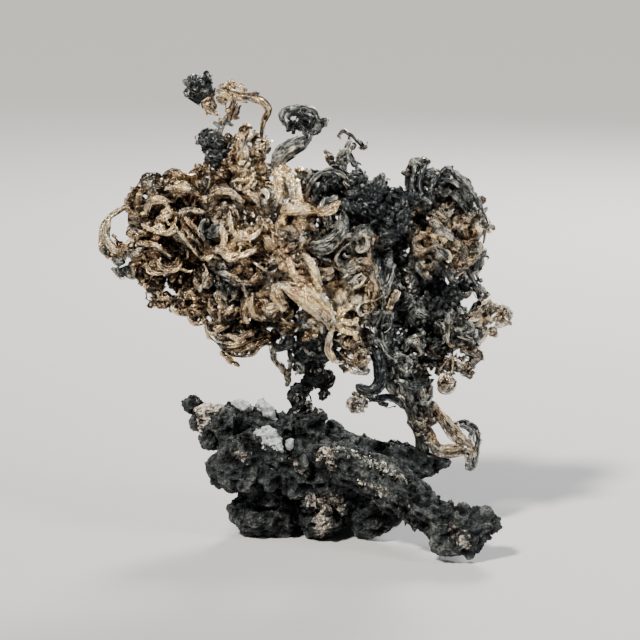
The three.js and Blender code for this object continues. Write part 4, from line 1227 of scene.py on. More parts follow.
SMALL_CURL = [
    [(4.9, -0.6, 64.3, 0.22), (5.4, -0.7, 64.7, 0.25), (5.9, -0.8, 65.1, 0.35), (6.6, -0.9, 64.7, 0.4),
     (7.2, -0.9, 64.3, 0.35), (7.7, -0.7, 63.7, 0.3), (8.3, -0.6, 63.2, 0.3), (8.7, -0.4, 62.8, 0.2)],
    [(8.2, -0.4, 63.6, 0.25), (8.7, -0.3, 62.8, 0.3), (8.7, -0.1, 62.3, 0.25), (9.3, 0, 62.9, 0.2)],
    [(7, -0.9, 63.6, 0.35), (6.6, -0.7, 62.9, 0.33), (6.2, -0.5, 62.1, 0.4), (5.9, -0.3, 61.3, 0.65),
     (5.8, -0.2, 60.4, 0.9), (5.7, 0, 59.7, 0.7)],
    [(3.7, -0.8, 61.7, 0.4), (3.7, -0.7, 60.9, 0.55), (4.1, -0.6, 60.1, 0.5), (4.9, -0.4, 59.7, 0.35),
     (5.6, -0.2, 59.2, 0.25)],
    [(6.7, -0.4, 61.9, 0.25), (7.2, -0.3, 61, 0.25), (7.6, -0.1, 60, 0.28), (8.1, 0, 59.8, 0.2)],
    [(6.6, -0.7, 63.2, 0.25), (7.4, -0.5, 62.9, 0.3), (7.3, -0.3, 62.1, 0.2)],
    [(5.8, -0.2, 59.4, 0.4), (5.9, -0.3, 58.4, 0.4), (6.4, -0.5, 57.6, 0.45), (6.2, -0.5, 56.7, 0.4),
     (5.9, -0.4, 56, 0.3)],
    [(7.2, -0.2, 58.4, 0.35), (7.8, -0.3, 58.4, 0.45), (8.4, -0.4, 58.9, 0.4), (8.7, -0.3, 58.4, 0.35),
     (8.2, -0.2, 57.9, 0.3)],
]
TUFT = {"length": (1.2, 3.4), "half": (0.12, 0.34), "turn": (2, 8), "steps": 8}
CURL_HEAD = [(-1.6, -1.4, 65.9, 1.3), (0.4, -1.2, 66.5, 1.5), (1.6, -1.2, 65.3, 1.2)]
grow(
    "top_curl",
    GREY,
    *drawn_wires(TOP_CURL, 23, tone=0.38, tarnish=0.16),
    tangle(CURL_HEAD, 60, 223, tone=0.36, tarnish=0.3, **TUFT),
    dressed(TOP_CURL[1:], 40, 123, 0.4),
)
grow(
    "small_curl",
    GREY,
    *drawn_wires(SMALL_CURL, 24, tone=0.48, each=4, steps=24),
    dressed(SMALL_CURL, 56, 124, 0.3, tone=0.48),
)

# %% The ring and the hooks
RING = [
    [(5.5, -7.6, 53.8, 0.25), (6.1, -7.8, 52.4, 0.45), (5.8, -8, 50.8, 0.6), (4.7, -8.2, 49.3, 0.65),
     (3.1, -8.2, 48.3, 0.75), (1.4, -7.8, 48.1, 0.65), (0.5, -7.4, 48.4, 0.4)],
    [(5, -7.8, 53.3, 0.2), (5.3, -8, 52.2, 0.35), (4.9, -8.2, 50.8, 0.4), (3.7, -8.4, 49.8, 0.45),
     (2, -8.2, 49.2, 0.4), (0.8, -7.8, 49.1, 0.3)],
    [(6.2, -7.4, 51.5, 0.2), (5.5, -7.8, 49.7, 0.35), (3.8, -8, 48, 0.4), (2, -7.8, 47.5, 0.35),
     (0.6, -7.4, 47.6, 0.2)],
    [(0.9, -7.2, 51.7, 0.25), (1.5, -7.4, 50.8, 0.3), (1.8, -7.4, 49.6, 0.25)],
    [(1.8, -7, 47.4, 0.25), (2.6, -7, 46.5, 0.35), (4, -6.8, 46.1, 0.2)],
    [(2, -7, 44.6, 0.45), (3.1, -7.2, 44.4, 0.6), (4.3, -7, 44.9, 0.35)],
    [(2, -7, 43.6, 0.35), (3.2, -7, 43.4, 0.5), (4.3, -6.8, 44.1, 0.3)],
]
grow("ring_curl", GREY, *drawn_wires(RING, 31, tone=0.41, tarnish=-0.05, each=3))
FRONT_HOOK = [
    [(4.6, -6.6, 35.7, 0.5), (4.2, -6.7, 35, 0.45), (3.8, -6.8, 34.3, 0.45), (3.6, -6.7, 33.3, 0.45),
     (3.6, -6.5, 32.1, 0.42), (4.1, -6.3, 30.9, 0.45), (4.9, -6.1, 30.1, 0.35), (6, -5.8, 30.2, 0.2)],
    [(6, -5.6, 29.7, 0.15), (7, -5.4, 28.8, 0.2), (8, -5.3, 28.2, 0.25), (9.4, -5.2, 27.9, 0.25),
     (9.8, -5.1, 28.5, 0.3), (9.1, -5, 28.8, 0.25)],
]
grow("front_hook", WARM, *drawn_wires(FRONT_HOOK, 32, tone=0.6))
HANGING_HOOK = [
    [(10.2, -2.8, 32.1, 0.7), (11, -3, 31.1, 0.8), (11.4, -3.2, 29.7, 0.85), (11.6, -3.4, 28.2, 0.85),
     (11.7, -3.4, 26.8, 0.85), (11.4, -3.4, 25.7, 0.8), (10.4, -3.4, 25.1, 0.7), (9.2, -3.1, 25, 0.65),
     (8.4, -2.9, 25.3, 0.4), (8.1, -2.6, 24.6, 0.25)],
    [(9, -2.2, 24.2, 0.25), (10.1, -1.8, 23.3, 0.4), (11.6, -1.4, 23, 0.5), (13, -1, 23.1, 0.45),
     (14.4, -0.6, 22.5, 0.6), (15.5, -0.1, 21.6, 0.5), (16.2, 0.4, 21.8, 0.4)],
    [(11.1, -1.4, 23.2, 0.3), (11.9, -1.1, 22.3, 0.35), (13.2, -0.8, 21.9, 0.3)],
]
grow(
    "hanging_hook",
    BLACK,
    *drawn_wires(HANGING_HOOK, 33, tone=0.38, flat=0.8, each=6),
    dressed(HANGING_HOOK, 10, 133, 0.1),
)
STEM_WIRE = [
    [(-5.1, 0.6, 32.7, 0.22), (-5.1, 1.4, 31.2, 0.25), (-5, 2, 29.8, 0.4), (-4.7, 2.4, 28.4, 0.35),
     (-3.9, 2.8, 27.3, 0.38), (-3.3, 3, 26.2, 0.42), (-2.8, 3.4, 24.8, 0.4), (-3.1, 3.5, 23.9, 0.25)],
    [(-3.1, 2.6, 25.6, 0.25), (-2.5, 2.4, 27, 0.3), (-2.3, 2.2, 28.3, 0.2)],
    [(-1.3, 2, 28.4, 0.35), (-0.9, 1.8, 27.4, 0.55), (-0.9, 2, 26.2, 0.35)],
]
grow("stem_wire", WARM, *drawn_wires(STEM_WIRE, 34, tone=0.45, each=4), dressed(STEM_WIRE, 14, 134, 0.2))

# %% The foot of the right stem
# The strands fan out from a web of silver between them and the stem.
FOOT_STRANDS = [
    [(19.7, 1.6, 21.9, 0.4), (20.7, 1.8, 20.4, 0.8), (21.9, 1.8, 18.8, 0.9), (23.2, 1.8, 17, 0.95),
     (24.6, 1.9, 15.6, 0.85), (26.6, 2, 14.3, 0.4)],
    [(18.9, 2.4, 17.9, 0.4), (19.7, 2.8, 16.2, 0.65), (20.5, 2.9, 14.3, 0.7), (21.8, 3, 13.3, 0.8),
     (23.9, 2.8, 13, 0.8), (25.8, 2.4, 13.5, 0.5)],
    [(21, 1.4, 20.8, 0.3), (22.3, 1.3, 18.7, 0.4), (23.8, 1.3, 17.1, 0.4), (25.4, 1.4, 15.6, 0.3)],
    [(21.5, 2.4, 14.1, 0.3), (23.4, 2.2, 14.2, 0.5), (25.3, 2.2, 14.2, 0.4)],
    [(25.6, 2, 14.3, 0.45), (26.6, 2.2, 13.7, 0.5), (27.1, 2.4, 12.5, 0.3)],
]
FOOT_WEB = [(20.1, 2.2, 20.4, 0.9), (20.3, 2.3, 19.4, 1), (20, 2.4, 18.5, 0.8)]
grow(
    "foot_strands",
    SANDY,
    *drawn_wires(FOOT_STRANDS, 35, tone=0.46, tarnish=0.16, each=5),
    clods(FOOT_WEB, 15, 135, (0.5, 0.9), (-0.1, 0.5), tone=0.46, tarnish=0.4),
)
FOOT_RING = [
    [(23.1, 2.6, 16.4, 0.3), (23.4, 3.2, 17.4, 0.4), (24.5, 3.3, 18, 0.45), (26.1, 3.2, 17.8, 0.42),
     (27.2, 3, 16.8, 0.38), (27.6, 3, 15.1, 0.35), (27.3, 3, 13.3, 0.42), (27.1, 3.2, 11.6, 0.5),
     (26.4, 3.4, 10, 0.35)],
    [(23.5, 2.4, 17, 0.25), (24.8, 2.3, 17.6, 0.3), (26.2, 2.3, 17, 0.3), (26.7, 2.4, 15.3, 0.25)],
    [(25.2, 2.6, 13.6, 0.4), (26, 2.8, 12.4, 0.55), (26.4, 3, 10.8, 0.45)],
]
grow("foot_ring", GREY, *drawn_wires(FOOT_RING, 36, tone=0.45), dressed(FOOT_RING, 30, 136, 0.2))

# %% [markdown]
# ## Filling the lobes
#
# A lobe of the bush is many curls deep. Seen close, there are wires that stand out on it, short
# leaves and crumpled folds between them, and a black inside. Each layer is made by a helper from
# above, with its own numbers. The wires that stand out most are drawn, and the rest is left to
# seeded chance.

# %% Thin places
# Where a lobe is too thin to hide what is behind it, as (x, z) seen from the front.
THIN_PLACES = {
    "right_lower_lobe": [
        (18.8, 25.7), (18.3, 28.5), (20.3, 28.1), (21.9, 26.7), (23.7, 27.7), (15.5, 32.3),
    ],
    "middle_lobe": [
        (-3, 36.6), (-1.4, 36.6), (-2.7, 38.1), (-0.1, 57.8), (-9.4, 52.3), (-1.8, 34.9), (0.5, 51.2),
    ],
    "lower_lobe": [(-1.6, 32), (-7, 34.6), (-14.4, 34.4)],
    "right_centre_lobe": [(9.9, 33.8), (6.6, 27.7), (9.4, 31.1), (6.6, 30), (5.3, 52)],
    "right_lobe": [(21.1, 45.9), (27.4, 51.2), (27.2, 45.3), (25.1, 41.4), (21.3, 53.5)],
    "right_horn": [(21.6, 57.2)],
    "dark_cluster": [(14.6, 47.6), (16.2, 47.4)],
    "left_lobe": [(-19.5, 52.5), (-25, 41.5), (-17.9, 54.5), (-26.7, 53.4)],
}

# %% Closing a lobe from behind
STUBBY = {"deep": (0, 2), "steps": 6, "sides": 4}


def backing(name, balls, seed):
    """The skins of short thick curls that close a lobe from behind: brown ones at its thin places
    and black ones in its gaps, which are painted shade."""
    thin = [(x, 2.8, z, 1.4) for x, z in THIN_PLACES.get(name, [])]
    inside = [below_surface(np.array([x, 2, z]), balls)[0] > 0 for x, z, _, _ in GAPS]
    gaps = [(x, 4, z - 1, 1.6) for (x, z, _, _), held in zip(GAPS, inside) if held]
    skins = []
    if thin:
        plug = {"length": (1.5, 3.2), "half": (0.5, 0.9), "flat": (0.4, 0.7), **STUBBY}
        skins.append(tangle(thin, 9 * len(thin), seed + 800, tone=0.38, tarnish=0.14, **plug))
    if gaps:
        # Black curls behind the gaps are painted shade.
        dark = {"length": (2, 5), "half": (0.8, 1.5), "flat": (0.5, 0.8), **STUBBY}
        skins.append(tangle(gaps, 5 * len(gaps), seed + 700, tone=0.05, tarnish=0.3, **dark))
    return skins


# %% One lobe
CORE = {"length": (4, 9), "half": (0.6, 1.3), "flat": (0.3, 0.6), "steps": 7, "sides": 4, "slack": -0.9}
LEAVES = {"length": (2, 4.5), "half": (0.4, 1.0), "flat": (0.15, 0.3), "turn": (1, 4), "lift": 1.1}
FLAKES = {"length": (0.8, 2.2), "half": (0.2, 0.5), "flat": (0.4, 0.8), "steps": 6}
FINE = {"length": (2, 6), "half": (0.2, 0.55), "turn": (2, 8), "steps": 10}


def lobe(
    name, look, curls, lumps, bits, seed, drawn=(), drawn_look=(0.48, 0.02), fold=0.42, tarnish=0.06,
    crust=0, lump=(0.6, 1.15), **shape
):
    """One lobe: curls outside, short wide leaves and crumpled clods under them, and dark thick
    curls in the middle, deeper than half its largest ball, whose darkness is partly sulphide and partly
    painted shade. Small nuggets sit between, and drawn wires lie on top. Crust is how many stubby
    flakes cling to those and roughen them."""
    balls = LOBES[name]
    middle = 0.5 * min(max(ball[3] for ball in balls), 2.6)
    under = (0.1 * middle, middle)
    skins = [
        tangle(balls, curls, seed, tarnish=tarnish, **shape),
        # The dark middle curls are partly black sulphide and partly painted shade for the lobe's deep
        # inside.
        tangle(balls, curls // 3, seed + 200, deep=(middle, 9), tone=0.1, tarnish=0.3, **CORE),
        tangle(balls, curls // 3, seed + 500, deep=under, tone=0.5, tarnish=tarnish, steps=10, **LEAVES),
        clods(balls, lumps, seed + 400, lump, (0.05 * middle, 1.1 * middle), fold=fold, tarnish=tarnish),
        *backing(name, np.array(balls), seed),
        nuggets(balls, bits, seed + 300, tarnish=tarnish),
    ]
    if drawn:
        tone, dull = drawn_look
        each, rough = (1, 0.26) if crust else (2, 0.16)
        skins += drawn_wires(drawn, seed + 100, tone, dull, steps=20, sides=7, each=each, rough=rough)
    if crust:
        skins.append(dressed(drawn, crust, seed + 600, 0.3, tone=tone + 0.05, tarnish=dull, **FLAKES))
    grow(name, look, *skins)


# %% Left lobe and tassel
LEFT_BARS = [
    [(-19.5, -1.6, 52.1, 0.2), (-18.3, -2, 50.1, 0.32), (-16.4, -2.4, 48, 0.34),
     (-14.9, -2.6, 46.3, 0.34), (-12.7, -3.4, 46, 0.25)],
    [(-20.5, -1.4, 51.3, 0.2), (-18.9, -2, 49, 0.32), (-17.2, -2.4, 46.9, 0.34), (-15.7, -2.6, 45.2, 0.3)],
    [(-18.7, -1.8, 52.4, 0.2), (-17.5, -2.2, 50.9, 0.3), (-16, -2.5, 49.1, 0.3), (-15.1, -2.6, 47.3, 0.2)],
]
LEFT_KNOTS = [
    [(-24.5, -0.4, 51.7, 0.3), (-23.8, -0.9, 54.1, 0.48), (-21.8, -1.2, 54.3, 0.48),
     (-20.6, -1.4, 52.7, 0.3)],
    [(-26.2, 0.2, 47.6, 0.3), (-24.6, -0.4, 47.4, 0.5), (-22.4, -1.6, 47.1, 0.42),
     (-20.7, -1.8, 45.6, 0.3)],
    [(-25, -0.2, 44.6, 0.3), (-23.9, -0.6, 43.1, 0.55), (-22, -1, 43.1, 0.48), (-20.4, -1.2, 44.5, 0.3)],
    [(-21.7, -0.6, 56, 0.3), (-19.3, -1, 56.5, 0.48), (-16.9, -1, 55.7, 0.48), (-15.2, -1.4, 54.2, 0.3)],
    [(-19.8, -1.6, 52.2, 0.25), (-18.5, -2.2, 52.9, 0.4), (-16.7, -2.4, 53.1, 0.42),
     (-14.9, -2.4, 52.5, 0.3)],
    [(-25.2, -0.4, 50.5, 0.25), (-23.4, -1, 50.1, 0.42), (-21.4, -1.8, 49.6, 0.42), (-19.5, -2, 50, 0.25)],
    [(-22.2, -1.6, 45.8, 0.25), (-22.4, -1.8, 44.6, 0.4), (-21.3, -1.8, 43.7, 0.4),
     (-19.8, -1.8, 44.1, 0.4), (-19, -1.8, 45.4, 0.25)],
]
BARS_AND_KNOTS = LEFT_BARS + LEFT_KNOTS
PLUMP = {"lump": (0.7, 1.3), "tarnish": 0.02, "tone": 0.54}
lobe("left_lobe", WARM, 140, 160, 60, 41, BARS_AND_KNOTS, (0.52, 0), **PLUMP)
lobe("left_tassel", WARM, 60, 34, 20, 42, length=(3, 8), half=(0.25, 0.7))

# %% Middle and lower lobes
MIDDLE_LOOPS = [
    [(-11.4, -4, 53.5, 0.2), (-11.2, -4.8, 51.7, 0.3), (-10.5, -5.2, 50, 0.34), (-9.1, -5.4, 49.3, 0.36),
     (-7.6, -5.2, 49.7, 0.36), (-6.8, -4.8, 51, 0.3), (-7, -4.2, 52.6, 0.2)],
    [(-14.2, -3.8, 52.1, 0.3), (-13.1, -4.6, 51.3, 0.5), (-12.3, -5, 49.5, 0.55),
     (-12.8, -5.2, 47.4, 0.4)],
    [(-13.1, -5.2, 47.3, 0.4), (-11.2, -5.8, 46.4, 0.62), (-9, -5.8, 46.9, 0.55), (-7.1, -5.2, 47.9, 0.3)],
    [(-14.8, -2.6, 55.2, 0.25), (-13.1, -3, 56.1, 0.42), (-11.1, -3.2, 55.9, 0.42),
     (-9.4, -3.6, 54.2, 0.3)],
    [(-9.3, -3.2, 56.5, 0.25), (-8.1, -3.6, 55.5, 0.42), (-6.8, -3.8, 54, 0.42), (-6.5, -3.8, 52.6, 0.25)],
    [(-13.7, -3.4, 43.8, 0.25), (-11.6, -4.8, 43.5, 0.42), (-9.6, -5.4, 42.2, 0.42),
     (-9, -5.2, 40.1, 0.3)],
    [(-8, -5, 40.8, 0.25), (-8.4, -5.2, 39.2, 0.42), (-8, -5, 37.2, 0.42), (-6.5, -4.6, 36.2, 0.25)],
    [(-9, -5.2, 39.2, 0.2), (-9.4, -5.2, 37.6, 0.35), (-8.6, -5, 36, 0.3)],
    [(-15.7, -3.2, 45.2, 0.2), (-15.2, -3.8, 43.4, 0.4), (-15.5, -3.8, 41.4, 0.35)],
    [(0, -7, 36.3, 0.25), (1.2, -7.2, 36.8, 0.4), (2.5, -7.2, 36, 0.4), (2.6, -7, 34.7, 0.25)],
]
lobe("middle_lobe", WARM, 200, 200, 60, 43, MIDDLE_LOOPS, lump=(0.7, 1.2))
LOWER_ARCS = [
    [(-13.3, -1.2, 31.7, 0.25), (-10.9, -2, 31.1, 0.4), (-8.8, -2.4, 31.9, 0.42),
     (-6.7, -2.2, 32.7, 0.38), (-5.2, -1.8, 33.2, 0.2)],
    [(-10.5, -1.6, 30, 0.2), (-8.3, -2, 30.5, 0.38), (-7, -2.2, 31.7, 0.38), (-5.3, -1.8, 32.3, 0.2)],
    [(-13.9, -1.4, 33.1, 0.2), (-13.1, -2, 34.6, 0.38), (-11.5, -2.4, 35.5, 0.3)],
    [(-13.7, -1.8, 32.4, 0.25), (-12.5, -2.4, 32.1, 0.38), (-10.7, -2.7, 32.3, 0.4),
     (-9.2, -2.6, 32.9, 0.25)],
    [(-12.5, -1.2, 30.7, 0.2), (-11.3, -1.6, 30.1, 0.35), (-9.2, -1.6, 29.9, 0.2)],
    [(-12.3, -2.2, 33.5, 0.25), (-10.7, -2.8, 33.3, 0.4), (-8.9, -3, 33.8, 0.38),
     (-7.1, -2.8, 34.6, 0.25)],
    [(-13.2, -0.4, 30.5, 0.3), (-12.4, -0.7, 29.6, 0.36), (-11.5, -0.8, 28.8, 0.38),
     (-10.2, -0.8, 28.2, 0.15)],
]
lobe("lower_lobe", WARM, 44, 32, 20, 44, LOWER_ARCS, length=(3, 9), turn=(0.5, 2.5))

# %% Crown
CROWN_LEGS = [
    [(-8.7, -0.5, 65.7, 0.15), (-9.2, -0.7, 64.7, 0.5), (-9.7, -0.9, 63.5, 0.6), (-9.7, -1, 62.3, 0.65),
     (-9.5, -0.9, 61.2, 0.7), (-9.8, -0.9, 59.9, 0.5)],
    [(-7.8, -0.9, 65, 0.4), (-8.5, -0.9, 64.1, 0.5), (-8.8, -1, 63.5, 0.4)],
    [(-6.7, -0.2, 63.6, 0.3), (-6, -0.4, 62.9, 0.4), (-5.7, -0.6, 62.3, 0.45), (-6.1, -0.8, 61.7, 0.4)],
    [(-6, -0.9, 62.8, 0.35), (-7.4, -1, 62.7, 0.4), (-8, -1.1, 62, 0.4), (-7.9, -1.2, 61, 0.4)],
    [(-9.2, -1.2, 62.8, 0.3), (-9, -1.2, 62, 0.35), (-8.9, -1.3, 60.8, 0.35)],
]
lobe("crown_lobe", WARM, 54, 34, 20, 45, CROWN_LEGS, length=(2.5, 7), half=(0.25, 0.7))

# %% Right centre and its tassel
CENTRE_ARCS = [
    [(6.7, -5.6, 44.7, 0.3), (7.3, -5.8, 45.5, 0.42), (8.4, -6.1, 46, 0.45), (9.5, -6, 45.6, 0.45),
     (10.4, -5.7, 44.9, 0.4), (10.9, -5.4, 43.8, 0.3)],
    [(7.4, -5.8, 44, 0.25), (8, -5.9, 44.6, 0.3), (8.9, -5.9, 44.6, 0.3), (9.7, -5.6, 43.9, 0.2)],
    [(5.2, -5.4, 46.3, 0.12), (5.6, -5.6, 45.5, 0.25), (6.2, -5.8, 44.9, 0.2)],
    [(7.8, -6.2, 48.4, 0.35), (8.4, -6.3, 47.7, 0.5), (9.3, -6.4, 48.3, 0.4), (8.9, -6, 49.3, 0.3),
     (9.3, -5.6, 50.1, 0.3)],
    [(5.7, -5.6, 49.5, 0.4), (6.7, -6, 49.9, 0.5), (7.8, -5.8, 49.7, 0.35)],
    [(9.6, -5.8, 47.6, 0.25), (9.8, -5.7, 46.7, 0.35), (10.1, -5.6, 45.8, 0.3)],
    [(9.3, -5.4, 40.9, 0.35), (9.1, -5.6, 40, 0.4), (8.4, -5.8, 39.2, 0.4), (8.2, -6, 38.4, 0.5),
     (8.7, -5.9, 37.5, 0.5), (9.5, -5.7, 37.7, 0.3), (9.9, -5.6, 36.9, 0.2)],
    [(7, -6.2, 39.1, 0.35), (7.8, -6.1, 39.8, 0.4), (8.4, -6, 40.4, 0.35)],
    [(10.2, -5, 45.4, 0.4), (10.9, -5.3, 44.4, 0.5), (10.2, -5.6, 43.3, 0.5), (10.8, -5.5, 42.1, 0.5),
     (10.6, -5.4, 40.9, 0.4)],
]
lobe("right_centre_lobe", SANDY, 175, 116, 130, 46, CENTRE_ARCS, half=(0.25, 0.7))
TASSEL_RING = [
    [(7.8, -5.8, 32.6, 0.45), (7.7, -5.7, 31.5, 0.5), (8, -5.5, 30.4, 0.6), (8.2, -5.3, 29.3, 0.55),
     (8.7, -5.2, 28.7, 0.35)],
    [(8.6, -5.6, 31.7, 0.3), (8.8, -5.4, 30.4, 0.4), (8.6, -5.2, 29.3, 0.3)],
    [(5.5, -5.6, 33.2, 0.35), (6.3, -5.9, 32.5, 0.4), (7.2, -5.9, 33, 0.4), (8, -5.8, 32.6, 0.3)],
    [(5.7, -4.8, 31.3, 0.2), (6.5, -4.9, 30.3, 0.25), (7.3, -5, 29.5, 0.2)],
]
lobe("front_tassel", WARM, 20, 8, 12, 47, TASSEL_RING, length=(2, 6), half=(0.2, 0.5))

# %% Right arm and right lobe
# Their silver is in small grains, so their clods are small and deeply folded.
ARM_WIRES = [
    [(29.2, -0.5, 36.5, 0.35), (30, -0.7, 37.6, 0.45), (31, -0.8, 37.4, 0.5), (31.8, -1, 36.4, 0.5),
     (31.3, -0.8, 35.3, 0.45), (30.4, -0.7, 34.8, 0.35), (29.8, -0.5, 34.7, 0.2)],
    [(25.5, -0.9, 36.2, 0.35), (26.6, -0.9, 36.8, 0.45), (27.6, -1, 37.3, 0.45), (28.7, -0.9, 37.9, 0.4),
     (29.4, -0.8, 38.2, 0.25)],
    [(23.9, -1.4, 35, 0.5), (25.1, -1.4, 35.3, 0.6), (26.2, -1.5, 35.5, 0.5), (27.4, -1.2, 35.7, 0.45),
     (28.6, -1, 35.9, 0.3)],
    [(23.9, -1.4, 33.6, 0.5), (25.1, -1.4, 33.2, 0.5), (25.8, -1.3, 32.9, 0.35)],
    [(28.3, -1, 34.5, 0.35), (28.2, -1.1, 33.6, 0.4), (27.8, -1.1, 32.6, 0.35), (26.9, -1, 32, 0.25)],
    [(28.7, -0.5, 33.8, 0.2), (29.1, -0.6, 34.3, 0.25), (29.7, -0.7, 33.7, 0.3), (29.6, -0.6, 33, 0.3),
     (29.1, -0.4, 33.1, 0.15)],
    [(24.2, -1, 31.4, 0.45), (25.2, -1.1, 30.8, 0.6), (26.2, -1.3, 30.5, 0.7), (27, -1.4, 30.1, 0.6),
     (26.6, -1.3, 29.2, 0.5), (26.2, -1.1, 28.5, 0.4), (26.4, -1, 27.7, 0.35)],
    [(24.3, -1, 27.7, 0.4), (25.1, -1.1, 27, 0.55), (25.7, -1.1, 26.6, 0.5), (26.6, -0.8, 27.4, 0.35)],
    [(22.4, -1.4, 36.9, 0.5), (22.3, -1.6, 35.5, 0.55), (22.5, -1.7, 34.2, 0.6), (22.2, -1.7, 32.8, 0.6),
     (22.8, -1.4, 31.5, 0.5), (23.5, -1.2, 31.6, 0.3)],
    [(23.8, -1, 37.5, 0.4), (24.3, -1.2, 36.6, 0.45), (23.8, -1.4, 35.7, 0.35)],
    [(23.1, -1, 31.5, 0.2), (22.7, -0.9, 29.8, 0.18), (22.2, -0.9, 28.8, 0.2), (21.5, -0.9, 28, 0.2),
     (21.1, -0.8, 27.4, 0.15)],
]
GRAINY = {"fold": 0.5, **FINE}
lobe("right_arm", SANDY, 76, 140, 90, 48, ARM_WIRES, (0.45, 0.16), tarnish=0.14, lump=(0.4, 0.9), **GRAINY)
RIGHT_RIM = [
    [(20.5, 0, 56.6, 0.3), (20.9, 0.2, 58.2, 0.42), (21.7, 0.3, 59.1, 0.42), (22.8, 0.2, 58.8, 0.48),
     (24, 0, 57.7, 0.5), (25.1, -0.1, 56.4, 0.48), (26.2, -0.2, 54.8, 0.45), (27.1, -0.3, 53.3, 0.38),
     (27.8, -0.4, 51.7, 0.32), (28.5, -0.5, 50.2, 0.25)],
    [(21.2, -0.3, 57.2, 0.3), (22.6, -0.4, 57.3, 0.42), (23.7, -0.5, 56.4, 0.42), (24.8, -0.6, 55, 0.38),
     (25.7, -0.6, 53.2, 0.3)],
    [(28.4, -0.7, 50.4, 0.3), (27.4, -0.9, 49.6, 0.38), (26.5, -1, 48.2, 0.48), (25.8, -1.1, 46.7, 0.5),
     (25.3, -1.2, 45.1, 0.5), (25.5, -1.2, 43.6, 0.48), (26.3, -1.1, 41.8, 0.42), (27.4, -1, 40.4, 0.38),
     (28.2, -0.8, 39.9, 0.3)],
    [(26.4, -0.8, 47.3, 0.25), (26.8, -0.8, 45.4, 0.35), (26.6, -0.8, 43.5, 0.35),
     (27.1, -0.8, 41.6, 0.25)],
    [(21.8, -0.8, 55.7, 0.25), (23, -1, 55.2, 0.38), (24.1, -1.1, 54, 0.35), (24.9, -1, 52.3, 0.25)],
    [(25.6, 0.3, 41.2, 0.45), (26.6, 0.3, 40.1, 0.5), (27.3, 0.2, 38.9, 0.45), (28.1, 0.2, 39, 0.35),
     (28.4, 0.3, 39.6, 0.3), (27.9, 0.3, 40, 0.2)],
]
lobe("right_lobe", SANDY, 150, 250, 140, 49, RIGHT_RIM, (0.34, 0.34), crust=50, lump=(0.4, 0.85), **GRAINY)

# %% Lobes of tarnished silver
lobe("right_lower_lobe", GREY, 185, 130, 150, 51, **FINE)
HORN = [
    [(16.3, 0.4, 55.2, 0.35), (16, 0.6, 57.2, 0.55), (16.1, 0.7, 59, 0.55), (16.8, 0.8, 60.1, 0.48),
     (17.8, 0.8, 60.7, 0.38), (18.8, 0.8, 60.6, 0.2)],
    [(16.8, 0, 55.7, 0.35), (16.7, 0.1, 57.6, 0.5), (17.1, 0.2, 59.1, 0.45), (18, 0.3, 60, 0.3)],
    [(18.6, 0.6, 60.1, 0.25), (18.1, 0.2, 58.8, 0.38), (17.8, 0, 57.1, 0.48), (18.2, -0.3, 55.3, 0.4)],
    [(18.6, 0.3, 58.5, 0.3), (19.5, 0.3, 58.7, 0.48), (20.3, 0.2, 58.3, 0.4), (19.8, -0.1, 57.3, 0.48),
     (19.4, -0.4, 56.1, 0.48), (19.8, -0.7, 54.4, 0.35)],
    [(17.2, -0.2, 55, 0.35), (18.3, -0.5, 54.5, 0.5), (19.4, -0.8, 53.8, 0.35)],
]
lobe("right_horn", GREY, 40, 14, 16, 52, HORN, (0.4, 0.04), crust=30, **FINE)
WREATH = [
    [(0.2, -1.5, 54.4, 0.3), (0.6, -2, 56.2, 0.48), (1.2, -2.2, 57.6, 0.48), (2.5, -2.2, 58.6, 0.48),
     (4.1, -2, 58.9, 0.48), (5.7, -1.8, 58.3, 0.45), (6.4, -1.6, 56.9, 0.4), (6.1, -1.4, 55.1, 0.25)],
    [(1.1, -2, 54.2, 0.3), (1.7, -2.6, 55.9, 0.4), (2, -2.6, 57.3, 0.25)],
    [(5.8, -2.2, 57.7, 0.25), (6.7, -2.2, 56.6, 0.35), (6.4, -2, 54.9, 0.25)],
    [(2.5, -1.8, 54.7, 0.3), (3.8, -2, 54.5, 0.45), (5.2, -2, 55.1, 0.3)],
    [(-0.1, -1.8, 57.4, 0.2), (0.6, -2, 58.3, 0.3), (0.9, -1.9, 59.2, 0.15)],
]
lobe("dark_wreath", GREY, 44, 20, 16, 53, WREATH, (0.42, 0), length=(2, 6), half=(0.2, 0.5))
lobe("back_lobe_left", GREY, 90, 60, 20, 54, front=0.3, half=(0.4, 1))
lobe("back_lobe_right", GREY, 110, 70, 20, 55, front=0.3, half=(0.4, 1))

# %% Black lobes and tufts
lobe("under_lobe", BLACK, 80, 40, 30, 56, **FINE)
lobe("dark_cluster", BLACK, 170, 56, 90, 57, length=(1.5, 5), half=(0.18, 0.5), turn=(2, 8), steps=9)
lobe("high_tuft", BLACK, 110, 8, 30, 58, deep=(-0.2, 1.0), **TUFT)
TUFT_TWIGS = [
    [(-13.2, -0.5, 64, 0.3), (-12.8, -0.5, 65.2, 0.28), (-12.4, -0.6, 66.3, 0.24),
     (-11.9, -0.6, 67.2, 0.12)],
    [(-12.8, -0.5, 65.2, 0.2), (-13.5, -0.5, 66, 0.16), (-13.9, -0.5, 66.3, 0.1)],
    [(-12.5, -0.5, 66, 0.2), (-11.6, -0.6, 66.2, 0.2), (-10.9, -0.6, 65.8, 0.12)],
]
lobe("low_tuft", BLACK, 120, 10, 30, 59, TUFT_TWIGS, (0.42, 0.1), deep=(-0.2, 1.2), **TUFT)

# %% [markdown]
# ## Rock
#
# The matrix is a crumbly lump. Ridges are thick strands and knobs are balls, all pushed in and out
# by noise in several sizes and by round grains. Where two overlap, the same noise moves both, so
# they meet in a natural crease. Loose-looking crumbs sit on top.

